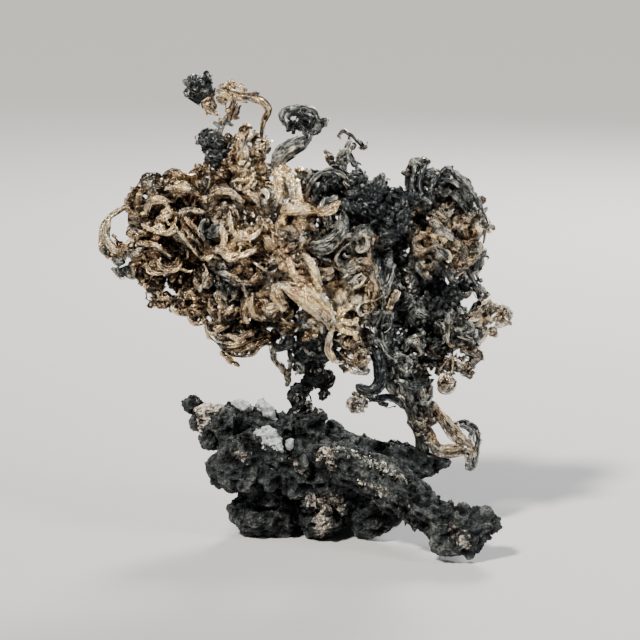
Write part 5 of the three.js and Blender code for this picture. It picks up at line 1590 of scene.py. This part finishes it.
# %% Rock skins
SILVER_ON_ROCK = np.array([
    (-10.1, 14.8, 1.3, 0.6), (-8.8, 18.4, 1, 0.45), (-4.9, 13, 0.9, 0.6), (-3.6, 14, 0.9, 0.6),
    (-1.8, 13.9, 0.9, 0.6), (-0.8, 12.4, 0.9, 0.55), (4, 14.1, 1.8, 0.6), (1, 7.2, 1.4, 0.8),
    (3.2, 6.8, 1.6, 0.85), (5.4, 6.2, 1.3, 0.7), (3, 3.6, 1.4, 0.8), (2.6, 1.8, 1.2, 0.6),
    (-1.8, 7.6, 1, 0.6), (10, 11.2, 1.3, 0.55), (12.6, 10.2, 1.3, 0.6), (15.2, 8.6, 1.3, 0.5),
    (22.4, 6.6, 1.2, 0.5), (24, 4.6, 1.5, 0.55), (25, 2.8, 1.2, 0.5), (27.4, 6.6, 1, 0.4),
    (-13.4, 17.8, 1, 0.3), (7, 4.6, 1, 0.3), (12, 4.4, 1, 0.3),
])


def rock_height(points, seed, coarse=1.0, grain=1.0):
    """How far the rock stands out at a point: slow rolling noise, cauliflower lumps in two sizes
    that fall off with the distance from scattered points, sharp crests where a noise passes
    through zero, and pits where another one is high."""
    height = 0.4 * coarse * rolling(points, 3.4, seed)
    height += 0.8 * coarse * (0.62 - grains(points, 2.6, seed + 1))
    height += 1.1 * grain * (0.3 - np.abs(rolling(points, 1.0, seed + 3)))
    height += 0.34 * grain * (0.62 - grains(points, 0.7, seed + 6))
    return height - 1.5 * coarse * np.clip(rolling(points, 1.1, seed + 5) - 0.22, 0, 1)


print("rock height, lowest and highest:", np.percentile(rock_height(sample, 61), (0, 100)).round(2))


def rock_skin(rings, seed, bend=0.0, **rough):
    """Rings bent about by slow noise, which is the same for every ring that meets there, then
    pushed out by the rock's height. Crests are painted pale and pits black, as painted light and
    shade. Silver shows in spots."""
    bent = rings + bend * np.stack([rolling(rings, 4.2, seed + 30 + k) for k in range(3)], axis=-1)
    height = rock_height(bent, seed, **rough)
    moved = bent + outward(rings) * height[..., None]
    moved[..., 2] = np.maximum(moved[..., 2], 0)
    black = 0.98 + 0.3 * rolling(moved, 2.2, seed + 9) - spots(moved, SILVER_ON_ROCK)
    # The tone follows the height: painted light on crests, painted shade in pits.
    return skin(moved, 0.22 + 0.42 * height, black, stretch=1.0, seed=seed)


def ridge(line, steps, sides, seed, flow=0.0, **rough):
    """A rounded ridge of rock along a line of (x, y, z, radius). Flow adds grooves along it."""
    path = smooth_line(line, steps)[None]
    run = np.linspace(-1, 1, steps)
    rounding = np.sqrt(np.clip(1 - np.abs(run) ** 6, 0.002, 1))
    radius = path[..., 3] * rounding
    rings = ribbon_rings(path[..., :3], radius, radius, np.array([[0, -1, 0.3]]), sides, seed, 0, 0, 0)
    if flow:
        place = grain_of(rings, 0.16)
        grooves = rolling(place, 1.2, seed + 20) + 0.5 * rolling(place, 0.6, seed + 21)
        rings = pushed(rings, flow * grooves * rounding[:, None])
    return rock_skin(rings, seed, **rough)


def knobs(balls, steps, sides, seed, **rough):
    """Balls of (x, y, z, radius across, radius deep, radius up): rings whose size follows a half
    circle from the bottom pole to the top pole."""
    balls = np.array(balls, float)
    polar = (np.arange(steps) + 0.5)[None, :, None] * np.pi / steps
    angle = ring_angles(sides)
    offset = np.stack(
        [np.sin(polar) * np.cos(angle), np.sin(polar) * np.sin(angle), -np.cos(polar) + 0 * angle], axis=-1
    )
    return rock_skin(balls[:, None, None, :3] + offset * balls[:, None, None, 3:6], seed, **rough)


def crumbs(skins, count, seed, size=(0.25, 0.6)):
    """Small angular lumps scattered over rock skins, half sunk into them."""
    rng = np.random.default_rng(seed)
    points = np.concatenate([s["points"] for s in skins])
    points = points[points[:, 2] > 1.0]
    seats = points[rng.choice(len(points), count)]
    balls = np.concatenate([seats, rng.uniform(*size, (count, 3))], axis=1)
    return knobs(balls, 3, 5, seed, coarse=0.2, grain=0.2)


# %% The matrix
FRONT_RIDGE = [
    (1, -0.6, 13.8, 2.6), (5, -2.6, 12.9, 3.8), (11, -4.8, 10.9, 3.4), (16, -7.4, 8.5, 3.1),
    (20, -9.6, 6.5, 3), (24, -11.2, 5.2, 2.6),
]
BACK_RIDGE = [
    (-16.4, 3.8, 16.4, 1.6), (-13.6, 4, 16.6, 3.2), (-10, 4, 16, 4.3), (-4.4, 5, 14, 4.8),
    (2, 5.2, 12.2, 5), (8, 5.4, 10, 4.2), (14.4, 4.6, 11.2, 3), (18.4, 4.2, 11, 3), (22.8, 4.2, 11.4, 2),
]
LOW_RIDGE = [
    (-10.2, 4.6, 4.6, 1.8), (-6, 4.4, 4.8, 3.6), (-1, 3.4, 5, 3.8), (4, 2.8, 5, 3.8), (9, 2.8, 5, 3.8),
    (13, 2.6, 5.6, 2.4),
]
KNOBS = [
    (-12.4, 3, 17.4, 4, 4, 2.9), (-3, 5, 16.7, 3, 3.5, 2.8), (-10, -2, 12.3, 4.2, 4, 4.6),
    (-2.4, -3, 10.3, 2.7, 2.6, 3.2), (-6.5, 1, 3.3, 4.6, 4, 3.6), (2.9, -3.4, 10.2, 3.3, 2.6, 2.4),
    (2.6, -1, 3.6, 3.1, 3, 3.3), (10.3, -1.6, 4, 3.8, 3, 3), (0.4, 4, 16.3, 3.2, 3.2, 3.2),
    (24.1, -11.6, 5.2, 4.2, 2.6, 3.7), (-5.6, -1.6, 13.4, 3.6, 3.4, 3), (6, -1, 8, 3.4, 3, 3),
    (1.6, 8.6, 9.2, 7, 4.8, 5.6), (12.2, 10.6, 4, 4.2, 4.2, 4.2), (-4.4, 11.2, 4, 4.2, 4.2, 4.2),
]
SMALL_KNOBS = [
    (-8.2, 1, 7, 2.4, 2.6, 2.2), (-9.5, 0, 4.4, 2.2, 2.3, 2.2), (-3.4, -0.5, 3.2, 2.4, 2.2, 2.4),
    (7.4, -0.8, 4.5, 2, 2, 2), (13.2, -1.8, 4.2, 2, 2, 2), (21.8, -11.6, 2.8, 2, 2, 2),
    (26.8, -11.6, 6.6, 2, 1.8, 2.1), (28.2, -11.6, 5.8, 1.3, 1.2, 1.2), (22.3, -11, 7.6, 1.6, 1.6, 1.6),
    (-13.4, -1, 11.4, 2, 2, 2.4), (-6.4, -4.4, 10.4, 1.7, 1.6, 1.8), (-0.2, -4.4, 13.2, 1.8, 1.7, 1.6),
    (-8, -2, 16.6, 1.8, 1.8, 1.4), (-11.4, 4.6, 19, 2, 1.8, 1.5), (-7, 4.6, 18.4, 1.8, 1.8, 1.6),
    (-3, 4.8, 18, 1.6, 1.6, 1.4), (2, 4.2, 18.4, 1.5, 1.5, 1.4), (-16.6, 3.6, 18.6, 1.5, 1.4, 1.6),
    (6.6, -5.2, 14.2, 1.7, 1.5, 1.4), (14.6, -5.4, 11.4, 1.6, 1.5, 1.3), (5.6, -2.6, 6.4, 1.6, 1.5, 1.6),
    (-5.4, -1.4, 6.6, 1.7, 1.6, 1.7), (17.6, -8.8, 6, 1.7, 1.6, 1.7), (-14.8, 2, 15.6, 1.8, 1.8, 1.6),
    (0.4, -3.2, 6.8, 1.5, 1.4, 1.4),
]
MATRIX = [
    ridge(FRONT_RIDGE, 110, 70, 61, flow=0.5, bend=1.0, coarse=0.7),
    ridge(BACK_RIDGE, 84, 54, 61, bend=1.0),
    ridge(LOW_RIDGE, 52, 44, 61, bend=1.0),
    knobs(KNOBS, 30, 42, 61, bend=1.0),
    knobs(SMALL_KNOBS, 18, 26, 61, bend=1.0, coarse=0.6),
]
grow("acanthite_matrix", ROCK, *MATRIX, crumbs(MATRIX, 440, 60, (0.15, 0.5)))

# %% [markdown]
# ## Stems
#
# Two stems carry the bush. The right one is a thick bundle of grey wires with crumpled skin, so
# it's drawn like the trunk. The left one is a crumbly black neck, so it's made as rock, with a moss
# of tiny silver curls on it.

# %% Right stem
RIGHT_STEM = [
    [(19.5, 4, 11.9, 0.8), (18.8, 3.4, 14, 1), (18.3, 3, 16.6, 1.2), (17.9, 2.4, 19.3, 1.6),
     (17.2, 1.4, 22, 1.9), (16, 0.2, 24.7, 2.1), (14.8, -0.8, 27.4, 2), (13.5, -1.6, 30, 1.5),
     (12.6, -2.2, 32.2, 1.1), (11.9, -2.8, 34.4, 1), (11.9, -3, 36.8, 0.7), (12.2, -3.2, 39.1, 0.5),
     (12.2, -3.2, 41.1, 0.8), (12.5, -3, 43.3, 0.95), (12.8, -2.6, 45.1, 0.85), (13.2, -2, 46.8, 0.4)],
    [(9.7, -3.4, 34.1, 0.35), (11.3, -3.6, 32.5, 0.5), (12.7, -3.6, 30.9, 0.5), (14.3, -3, 29.4, 0.5),
     (15.7, -2.4, 28.1, 0.35)],
    [(13.6, -3, 44.9, 0.3), (13.3, -3.5, 43.1, 0.38), (12.6, -3.8, 41.5, 0.35), (12.3, -3.8, 40.1, 0.25)],
    [(11.7, -3.2, 44.6, 0.3), (11.4, -3.7, 42.3, 0.38), (11.7, -3.9, 40.6, 0.35), (12.2, -3.9, 39.2, 0.3),
     (12.2, -3.7, 37.6, 0.25)],
    [(10.3, -3.7, 35.7, 0.25), (10.6, -4.1, 37.2, 0.35), (11.8, -4.3, 37.7, 0.35),
     (13.1, -4.1, 37.1, 0.35), (13.1, -3.9, 35.4, 0.35), (12.2, -3.9, 34.5, 0.35),
     (10.8, -3.9, 34.8, 0.25)],
    [(15.5, -2.6, 31.2, 0.35), (15.8, -2.8, 32.3, 0.5), (16.9, -2.8, 32.7, 0.5), (17.7, -2.6, 31.7, 0.5),
     (17.9, -2.4, 30.3, 0.25)],
    [(13.3, -3, 30, 0.3), (14.2, -3.4, 30.7, 0.4), (15.5, -3.4, 30.4, 0.4), (16.4, -3.2, 29.4, 0.4),
     (15.8, -3, 28.2, 0.35), (14.6, -3, 28.2, 0.35), (13.9, -3.2, 29.3, 0.25)],
    [(14.2, -2.2, 27.6, 0.5), (15.3, -1.8, 25.9, 0.7), (16.3, -1, 23.7, 0.75), (17.1, 0, 21.5, 0.65),
     (17.8, 0.9, 19.3, 0.4)],
    [(16.4, -1.4, 27.4, 0.5), (17.7, -0.8, 25.3, 0.65), (18.7, -0.2, 23, 0.6), (19.4, 0.8, 20.7, 0.5),
     (19.9, 1.4, 18.5, 0.3)],
    [(12.9, -1.6, 26.6, 0.4), (14.1, -1, 24.7, 0.5), (15.5, -0.2, 22.4, 0.5), (16.9, 0.8, 20, 0.45),
     (17.6, 1.8, 17.1, 0.3)],
    [(11.3, -1.6, 31.3, 0.3), (12.3, -1.4, 30.4, 0.35), (13, -1.2, 29.8, 0.3)],
    [(11.7, -1.6, 32.2, 0.2), (12.6, -1.4, 31.4, 0.3), (13.2, -1.2, 30.4, 0.25)],
    [(13.9, -2, 29, 0.25), (14.3, -2.1, 29.7, 0.28), (15.3, -2.1, 29.6, 0.28), (15.8, -2.2, 29, 0.28),
     (15.4, -2.1, 28.3, 0.28), (14.5, -2.1, 28.3, 0.28), (13.9, -2, 29, 0.25)],
    [(12.5, -1.6, 29.5, 0.3), (12.5, -1.7, 28.7, 0.4), (13, -1.8, 27.9, 0.35)],
    [(15.3, -1.6, 30.5, 0.4), (15.7, -1.7, 31.7, 0.45), (16.5, -1.8, 32.1, 0.5), (17.5, -1.7, 31.5, 0.5),
     (18, -1.6, 30.7, 0.5), (17.2, -1.4, 30.1, 0.35)],
]
STEM_CLODS = [
    (11.7, -2.6, 35.8, 1.5), (14.8, -1.2, 28.9, 2.2), (16, -1.2, 30.9, 1.7), (13.2, -1.6, 30.6, 1.8),
    (12.9, -2, 33, 1.5), (16.1, -0.2, 26.1, 2.2), (17.6, 0.6, 23.7, 2.2), (14.9, 0, 25.1, 1.8),
    (18.3, 1.6, 21.3, 1.9), (17, 1, 22.6, 2), (18.5, 2, 18.7, 1.6), (18.9, 2.6, 15.9, 1.3),
]
# A clean pink bar lies on the stem's upper end.
PINK_BAR = [
    [(14.3, -3.2, 40.8, 0.45), (13.8, -3.4, 39.7, 0.68), (13.2, -3.4, 38.6, 0.68),
     (12.6, -3.2, 37.3, 0.35)],
]
grow(
    "right_stem",
    GREY,
    *drawn_wires(RIGHT_STEM, 62, tone=0.47, flat=0.75, steps=30, each=3),
    *drawn_wires(PINK_BAR, 63, tone=0.5, tarnish=-0.3, flat=0.7, each=6),
    dressed(RIGHT_STEM, 50, 162, 0.3, tone=0.54, length=(1.5, 5), half=(0.2, 0.5)),
    tangle(STEM_CLODS, 110, 163, tone=0.54, length=(1.2, 4.5), half=(0.15, 0.5), turn=(2, 8), steps=9),
    clods(STEM_CLODS, 86, 164, (0.5, 1.05), (-0.1, 0.8), tone=0.52, fold=0.6),
    nuggets(STEM_CLODS, 150, 165, (0.14, 0.4), (-0.2, 0.5), tone=0.6),
)

# %% Left stem
LEFT_STEM = [
    (-0.6, 5, 18.2, 1.7), (-0.6, 5, 20.7, 1.2), (-1.1, 4.8, 22.4, 1.2), (0.1, 4.6, 23.8, 1.1),
    (0.9, 4.6, 25.3, 1.1), (0.4, 4.6, 26.9, 1.2), (0.4, 4.2, 29.3, 1.5), (0.7, 3.8, 32, 1.6),
]
LEFT_BRANCH = [
    (0.5, 4.4, 24, 0.7), (2, 4.2, 24.7, 0.7), (3.4, 4.2, 24.9, 1), (3.4, 4.3, 23.5, 0.7),
    (3.1, 4.4, 22.2, 0.6),
]
LEFT_STEM_KNOBS = [
    (-1.4, 4, 22.6, 1.1, 1, 1.1), (-0.6, 4.2, 21.1, 1.2, 1.1, 1.2), (0.2, 4, 23.9, 1.2, 1.1, 1.1),
    (-0.4, 4, 23, 1.4, 1.3, 1.3), (1.3, 4.2, 24.2, 1, 0.9, 0.9), (3.5, 4, 25, 1.3, 1.2, 1.2),
    (2.5, 4.2, 25.7, 0.8, 0.8, 0.8), (3.1, 4.3, 22.3, 0.8, 0.7, 0.8), (4.1, 4, 25.9, 0.6, 0.6, 0.6),
    (-1.1, 4.4, 19.4, 1.3, 1.2, 1.1), (0.5, 4.4, 20.2, 0.9, 0.9, 0.9), (2, 4.2, 19, 1.2, 1.1, 1.1),
    (-0.9, 3, 26.8, 0.9, 0.8, 0.9), (-0.4, 3.4, 28.8, 0.8, 0.8, 0.8), (1.3, 3.2, 28.9, 0.8, 0.8, 0.8),
    (1.7, 4, 26.7, 1.1, 1, 1), (2.6, 4, 27.1, 0.8, 0.7, 0.7),
]
STEM_ROCK = [
    ridge(LEFT_STEM, 56, 28, 63, bend=0.5, coarse=0.5),
    ridge(LEFT_BRANCH, 40, 24, 63, bend=0.5, coarse=0.4),
    knobs(LEFT_STEM_KNOBS, 14, 20, 63, bend=0.5, coarse=0.5),
]
MOSS = {**TUFT, "deep": (-0.4, 0.8), "tone": 0.5, "tarnish": 0.3}
STEM_MOSS = tangle([ball[:4] for ball in LEFT_STEM_KNOBS], 110, 263, **MOSS)
grow("left_stem", ROCK, *STEM_ROCK, STEM_MOSS, crumbs(STEM_ROCK, 140, 163, (0.15, 0.4)))

# %% Black knob
KNOB_ROCK = [knobs([(-18, 3.6, 20.9, 1.5, 1.5, 1.4), (-17, 3.6, 20.4, 1, 1, 1)], 26, 32, 64, coarse=0.3)]
grow("acanthite_knob", ROCK, *KNOB_ROCK, crumbs(KNOB_ROCK, 30, 164, (0.15, 0.35)))

# %% [markdown]
# ## Calcite
#
# A few white calcite grains sit on the rock's top edge, and a crust of them on its front. The
# grains are long, so they're short ridges; the crust and the pebble are overlapping balls. Both
# take little of the rock's roughness, and small crumbs break their outlines.

# %% Calcite grains and crust
CALCITE_GRAINS = {
    "calcite_grain_left": [
        (-12, 4, 20.6, 0.5), (-11.2, 4, 20.7, 0.85), (-9.9, 4, 20.4, 1), (-8.5, 4, 19.6, 0.5),
    ],
    "calcite_grain_right": [
        (-7.7, 3.5, 21.2, 0.5), (-7, 3.4, 20.8, 0.9), (-5.8, 3.2, 19.7, 1), (-4.7, 3, 18.3, 0.45),
    ],
}
for number, (name, line) in enumerate(CALCITE_GRAINS.items()):
    grain = [ridge(line, 26, 24, 65 + number, coarse=0.25, grain=0.35)]
    grow(name, CALCITE, *grain, crumbs(grain, 8, 165 + number, (0.08, 0.16)))
CALCITE_KNOBS = {
    "calcite_crust_front": [
        (-7.2, -2.8, 17.8, 0.9, 1, 0.6), (-6.1, -2.8, 18.1, 1, 1, 0.7), (-5.1, -3, 17.6, 1, 0.9, 0.8),
        (-4.4, -3.2, 16.7, 0.9, 0.9, 0.9), (-4.1, -3.4, 15.8, 0.8, 0.8, 0.9),
        (-6.6, -3.2, 16.9, 0.7, 0.7, 0.6), (-5.6, -3.5, 16.5, 0.7, 0.6, 0.6),
        (-5, -3.6, 15.5, 0.6, 0.6, 0.6), (-6.2, -3.6, 15.6, 0.5, 0.5, 0.5),
    ],
    "calcite_pebble": [(-2.5, -2.5, 16, 0.7, 0.7, 0.85)],
}
for number, (name, balls) in enumerate(CALCITE_KNOBS.items()):
    crust = [knobs(balls, 16, 22, 67 + number, coarse=0.2, grain=0.6 if len(balls) > 3 else 0.25)]
    grow(name, CALCITE, *crust, crumbs(crust, 8 * len(balls), 167 + number, (0.12, 0.3)))

# %% [markdown]
# ## Silver on the rock
#
# Silver also came up on the rock itself, in patches of fine grains, a leaf, a ribbon along a ledge
# and a thin vein. Patches are made as tiny lobes: curls, clods and nuggets over a few balls.

# %% Patches, leaf and bead
BEADS = {
    "silver_patch_low": [
        (0.8, -3, 6.8, 0.9), (2.2, -3.2, 7.2, 1), (3.7, -3.2, 7.1, 1), (5.2, -3, 7.2, 0.8),
        (3.1, -3.8, 5.8, 1), (2.8, -4, 4.5, 0.9), (3.4, -3.8, 3.1, 0.8),
    ],
    "silver_patch_high": [
        (3, -4.4, 15.2, 1), (4.3, -4.6, 14.9, 1.1), (5.5, -4.6, 15.2, 0.9), (2.4, -4.4, 14.3, 0.8),
    ],
    "silver_leaf_left": [
        (-16.8, 3, 19.6, 0.8), (-15.9, 3, 19.2, 0.9), (-14.7, 2.8, 19.6, 0.9), (-13.6, 2.8, 20, 0.8),
        (-16.5, 2.9, 18.4, 0.9), (-15.4, 2.8, 18.4, 0.9), (-16.4, 2.9, 17, 0.7), (-15.7, 2.7, 16.4, 0.6),
    ],
    "hook_bead": [
        (8.2, -2.4, 23.3, 1.4), (7.7, -2.4, 22.4, 1.3), (8.6, -2.3, 22.4, 1.2), (9, -2.2, 24.1, 0.7),
    ],
}
# The leaf has four flat strips on its front.
LEAF = [
    [(-17.6, 2.2, 20.1, 0.4), (-16.4, 1.8, 20.3, 0.8), (-14.8, 1.7, 20.4, 0.9), (-13.2, 1.8, 20.9, 0.4)],
    [(-17.3, 2, 19, 0.4), (-15.8, 1.6, 19.1, 0.8), (-14.2, 1.6, 19.5, 0.8), (-12.8, 1.8, 20.1, 0.3)],
    [(-17, 2.2, 17.9, 0.4), (-15.8, 1.8, 17.8, 0.7), (-14.6, 1.8, 18.5, 0.6), (-13.6, 1.8, 19.2, 0.3)],
    [(-16.8, 2.3, 17, 0.3), (-16, 2, 16.6, 0.6), (-15.2, 2, 16.9, 0.4)],
]
STRIPS = drawn_wires(LEAF, 74, tone=0.47, tarnish=0.05, flat=0.3, steps=20, each=4, rough=0.3)
BEAD = {"length": (1, 3.4), "half": (0.15, 0.4), "turn": (3, 9), "steps": 7, "slack": 0.1}
SPECKS = {"tone": 0.42, "tarnish": 0.15}
LUMPS = {"tone": 0.42, "tarnish": 0.2, "fold": 0.6}
for number, (name, balls) in enumerate(BEADS.items()):
    grow(
        name,
        SPECKLED,
        tangle(balls, 40, 71 + number, **SPECKS, **BEAD),
        clods(balls, 6 * len(balls), 171 + number, (0.5, 0.9), (0.2, 0.9), **LUMPS),
        nuggets(balls, 22 * len(balls), 271 + number, (0.15, 0.4), (-0.1, 0.5), **SPECKS),
        *(STRIPS if name == "silver_leaf_left" else []),
    )

# %% Ledge and vein
LEDGE = [
    [(8.8, -6.9, 11.2, 0.35), (10.4, -7.3, 11, 0.55), (12.1, -7.7, 10.6, 0.6), (13.4, -8.1, 9.9, 0.6),
     (15, -8.7, 9.1, 0.35)],
]
VEIN = [
    [(5, -5.6, 16, 0.3), (8.5, -6.2, 15, 0.45), (12, -7.4, 13.5, 0.45), (15.5, -9, 12, 0.3)],
]
CLINGING = {"length": (1, 3), "half": (0.15, 0.4)}
grow(
    "silver_ledge",
    SPECKLED,
    *drawn_wires(LEDGE, 75, 0.45, 0.15, each=7, rough=0.3),
    dressed(LEDGE, 90, 175, 0.4, tarnish=0.2, **CLINGING),
)
grow(
    "silver_vein",
    GREY,
    *drawn_wires(VEIN, 76, tone=0.44, each=7, rough=0.3),
    dressed(VEIN, 60, 176, 0.3, **CLINGING),
)

# %% The drop under the arm
ARM_DROP = [
    [(23.1, 0, 30.9, 0.3), (23, -0.1, 29.5, 0.28), (22.9, -0.2, 28.4, 0.28), (22.6, -0.2, 27.6, 0.35),
     (22.2, -0.3, 26.9, 0.3), (22.4, -0.4, 26.6, 0.25)],
    [(22.4, -0.6, 26.6, 0.22), (21.7, -0.7, 26.5, 0.25), (21.2, -0.9, 26.1, 0.28), (21.1, -1, 25.4, 0.3),
     (21.3, -1.1, 24.6, 0.4), (22.1, -1.2, 24.1, 0.45), (23.2, -1.1, 24.6, 0.32), (23.5, -1, 25.3, 0.28),
     (23.4, -0.9, 25.9, 0.25), (22.8, -0.8, 26.5, 0.22)],
]
DROP = [(22.2, -0.6, 25.3, 1.15), (22.4, -0.6, 26.2, 0.7)]
grow(
    "arm_drop",
    WARM,
    *drawn_wires(ARM_DROP, 79, tarnish=0.2, each=3),
    tangle(DROP, 60, 78, tarnish=0.2, **BEAD),
    clods(DROP, 16, 80, (0.5, 0.9), (0, 0.8)),
)

# %% [markdown]
# ## Shelter
#
# Outer wires rub clean and inner ones stay black, and what stands round a point also darkens its
# colour as painted shade. To tell them apart, space is cut into small cells, and every cell that
# holds some of the specimen is filled. From each point of the surface, nine ways lead out: straight
# ahead, and eight that lean away from it. The share of ways that soon meet a filled cell is the
# point's shelter. Sheltered points are painted darker, as painted shade, and the most sheltered
# are more tarnished.

# %% Shelter
CELL = 0.5
REACHES = (1.0, 1.6, 2.3, 3.1, 4.0)
LET_THROUGH = 0.45  # share of light that gets past one filled cell


def filled_space(points):
    """The corner and the cells of the space round all the points: 1 where a cell holds a point."""
    corner = points.min(axis=0) - 8
    cells = np.zeros(((points.max(axis=0) + 8 - corner) / CELL).astype(int) + 1, np.float32)
    cells[tuple(((points - corner) / CELL).astype(int).T)] = 1
    return corner, cells


def sheltered(points, facing, corner, cells):
    """How much of the light round each point is kept out, over nine ways out. On each way every
    filled cell lets only part of the light through."""
    side = unit(np.cross(facing, (0.31, 0.17, 0.93)))
    above = np.cross(facing, side)
    ways = [facing]
    for angle in np.arange(8) * np.pi / 4:
        ways.append(unit(facing + 0.9 * (math.cos(angle) * side + math.sin(angle) * above)))
    light = 0
    for way in ways:
        left = 1
        for reach in REACHES:
            spot = ((points + way * reach - corner) / CELL).astype(int)
            left = left * (1 - (1 - LET_THROUGH) * cells[spot[:, 0], spot[:, 1], spot[:, 2]])
        light = light + left / len(ways)
    return 1 - light


# %% [markdown]
# ## Building the pieces
#
# With the whole specimen grown, each piece gets its shelter, becomes a mesh, and takes the place
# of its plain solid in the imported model. Silver is shaded smooth. Rock, calcite and the speckled
# patches stay faceted, so that their grains catch the light.

# %% Building
corner, cells = filled_space(np.concatenate([piece["points"] for piece, _ in GROWN.values()]))
triangles = {}
for name, (piece, (material, slot)) in GROWN.items():
    patina_and_shade = sheltered(piece["points"], piece["facing"], corner, cells)
    # Deep shelter adds tarnish, as sulphide stays in the hollows; the tone is painted lighter on open points
    # and darker on sheltered ones, as painted light and shade.
    piece["tarnish"] = piece["tarnish"] + 0.8 * np.clip(patina_and_shade - 0.9, 0, 1)
    piece["tone"] = piece["tone"] + 0.2 - 0.3 * patina_and_shade - 0.8 * np.clip(patina_and_shade - 0.8, 0, 1)
    triangles[name] = build_piece(name, piece, material, material not in (ROCK[0], CALCITE[0]))
    print(name, "triangles:", triangles[name], "shelter:", np.percentile(patina_and_shade, (10, 50, 90)).round(2))
print("triangles in all:", sum(triangles.values()))

# %% [markdown]
# ## Floor, light and camera
#
# A pale floor and a few large soft lamps. The camera looks slightly down, as one looks at a
# specimen on a table.

# %% Floor
FLOOR_REACH = 90  # metres, so that its edge lies at the horizon
corners = [(x * FLOOR_REACH, y * FLOOR_REACH, 0) for x, y in ((-1, -1), (1, -1), (1, 1), (-1, 1))]
floor_mesh = bpy.data.meshes.new("floor")
floor_mesh.from_pydata(corners, [], [(0, 1, 2, 3)])
floor = placed(bpy.data.objects.new("floor", floor_mesh))
paper, _, paper_shader = new_material("pale paper")
paper_shader.inputs["Base Color"].default_value = (0.5, 0.5, 0.495, 1)
paper_shader.inputs["Roughness"].default_value = 0.9
floor_mesh.materials.append(paper)

# %% Lamps
AIM = np.array([0.0, 0.0, 38.0]) * MM


def lamp(name, place, size, power, colour=(1, 1, 1)):
    """A square soft lamp that points at the middle of the specimen. Place and size are in mm."""
    data = bpy.data.lights.new(name, "AREA")
    data.size = size * MM
    data.energy = power
    data.color = colour
    item = bpy.data.objects.new(name, data)
    item.location = np.array(place) * MM
    back = item.location - type(item.location)(AIM)
    item.rotation_euler = back.to_track_quat("Z", "Y").to_euler()
    item.visible_camera = False
    return placed(item)


lamp("side", (420, -200, 220), 120, 1.6, (0.95, 0.97, 1.0))
lamp("rim", (160, 380, 330), 140, 3.5)
sun_data = bpy.data.lights.new("key", "SUN")
sun_data.energy = 6.6
sun_data.angle = math.radians(8)
sun_data.color = (1.0, 0.95, 0.87)
sun = placed(bpy.data.objects.new("key", sun_data))
sun.rotation_euler = (math.radians(40), 0, math.radians(-38))

# %% Pale backdrop, dark studio
world = bpy.data.worlds.new("studio")
world.use_nodes = True
room = world.node_tree
dark = room.nodes["Background"]
dark.inputs["Color"].default_value = (0.55, 0.57, 0.6, 1)
dark.inputs["Strength"].default_value = 0.12
pale = room.nodes.new("ShaderNodeBackground")
pale.inputs["Color"].default_value = (0.8, 0.79, 0.77, 1)
pale.inputs["Strength"].default_value = 1.5
seen = room.nodes.new("ShaderNodeLightPath")
choice = room.nodes.new("ShaderNodeMixShader")
room.links.new(seen.outputs["Is Camera Ray"], choice.inputs["Fac"])
room.links.new(dark.outputs["Background"], choice.inputs[1])
room.links.new(pale.outputs["Background"], choice.inputs[2])
room.links.new(choice.outputs["Shader"], room.nodes["World Output"].inputs["Surface"])
bpy.context.scene.world = world

# %% Camera
CAMERA_RISE = math.radians(12)
CAMERA_AWAY = 300 * MM
LOOK_AT = np.array([2.3, 0, 35.4]) * MM
VIEW_WIDTH = 100 * MM
camera_data = bpy.data.cameras.new("camera")
camera_data.sensor_width = 36
camera_data.lens = 36 * CAMERA_AWAY / VIEW_WIDTH
camera_data.clip_start = 10 * MM
camera = placed(bpy.data.objects.new("camera", camera_data))
camera.location = LOOK_AT + CAMERA_AWAY * np.array([0, -math.cos(CAMERA_RISE), math.sin(CAMERA_RISE)])
camera.rotation_euler = (math.pi / 2 - CAMERA_RISE, 0, 0)
bpy.context.scene.camera = camera
print("lens:", round(camera_data.lens, 1), "mm")

# %% [markdown]
#
# The detailed meshes have to stay inside the space of the imported model, or the specimen wouldn't
# be the size it says.

# %% Update the scene
bpy.context.view_layer.update()
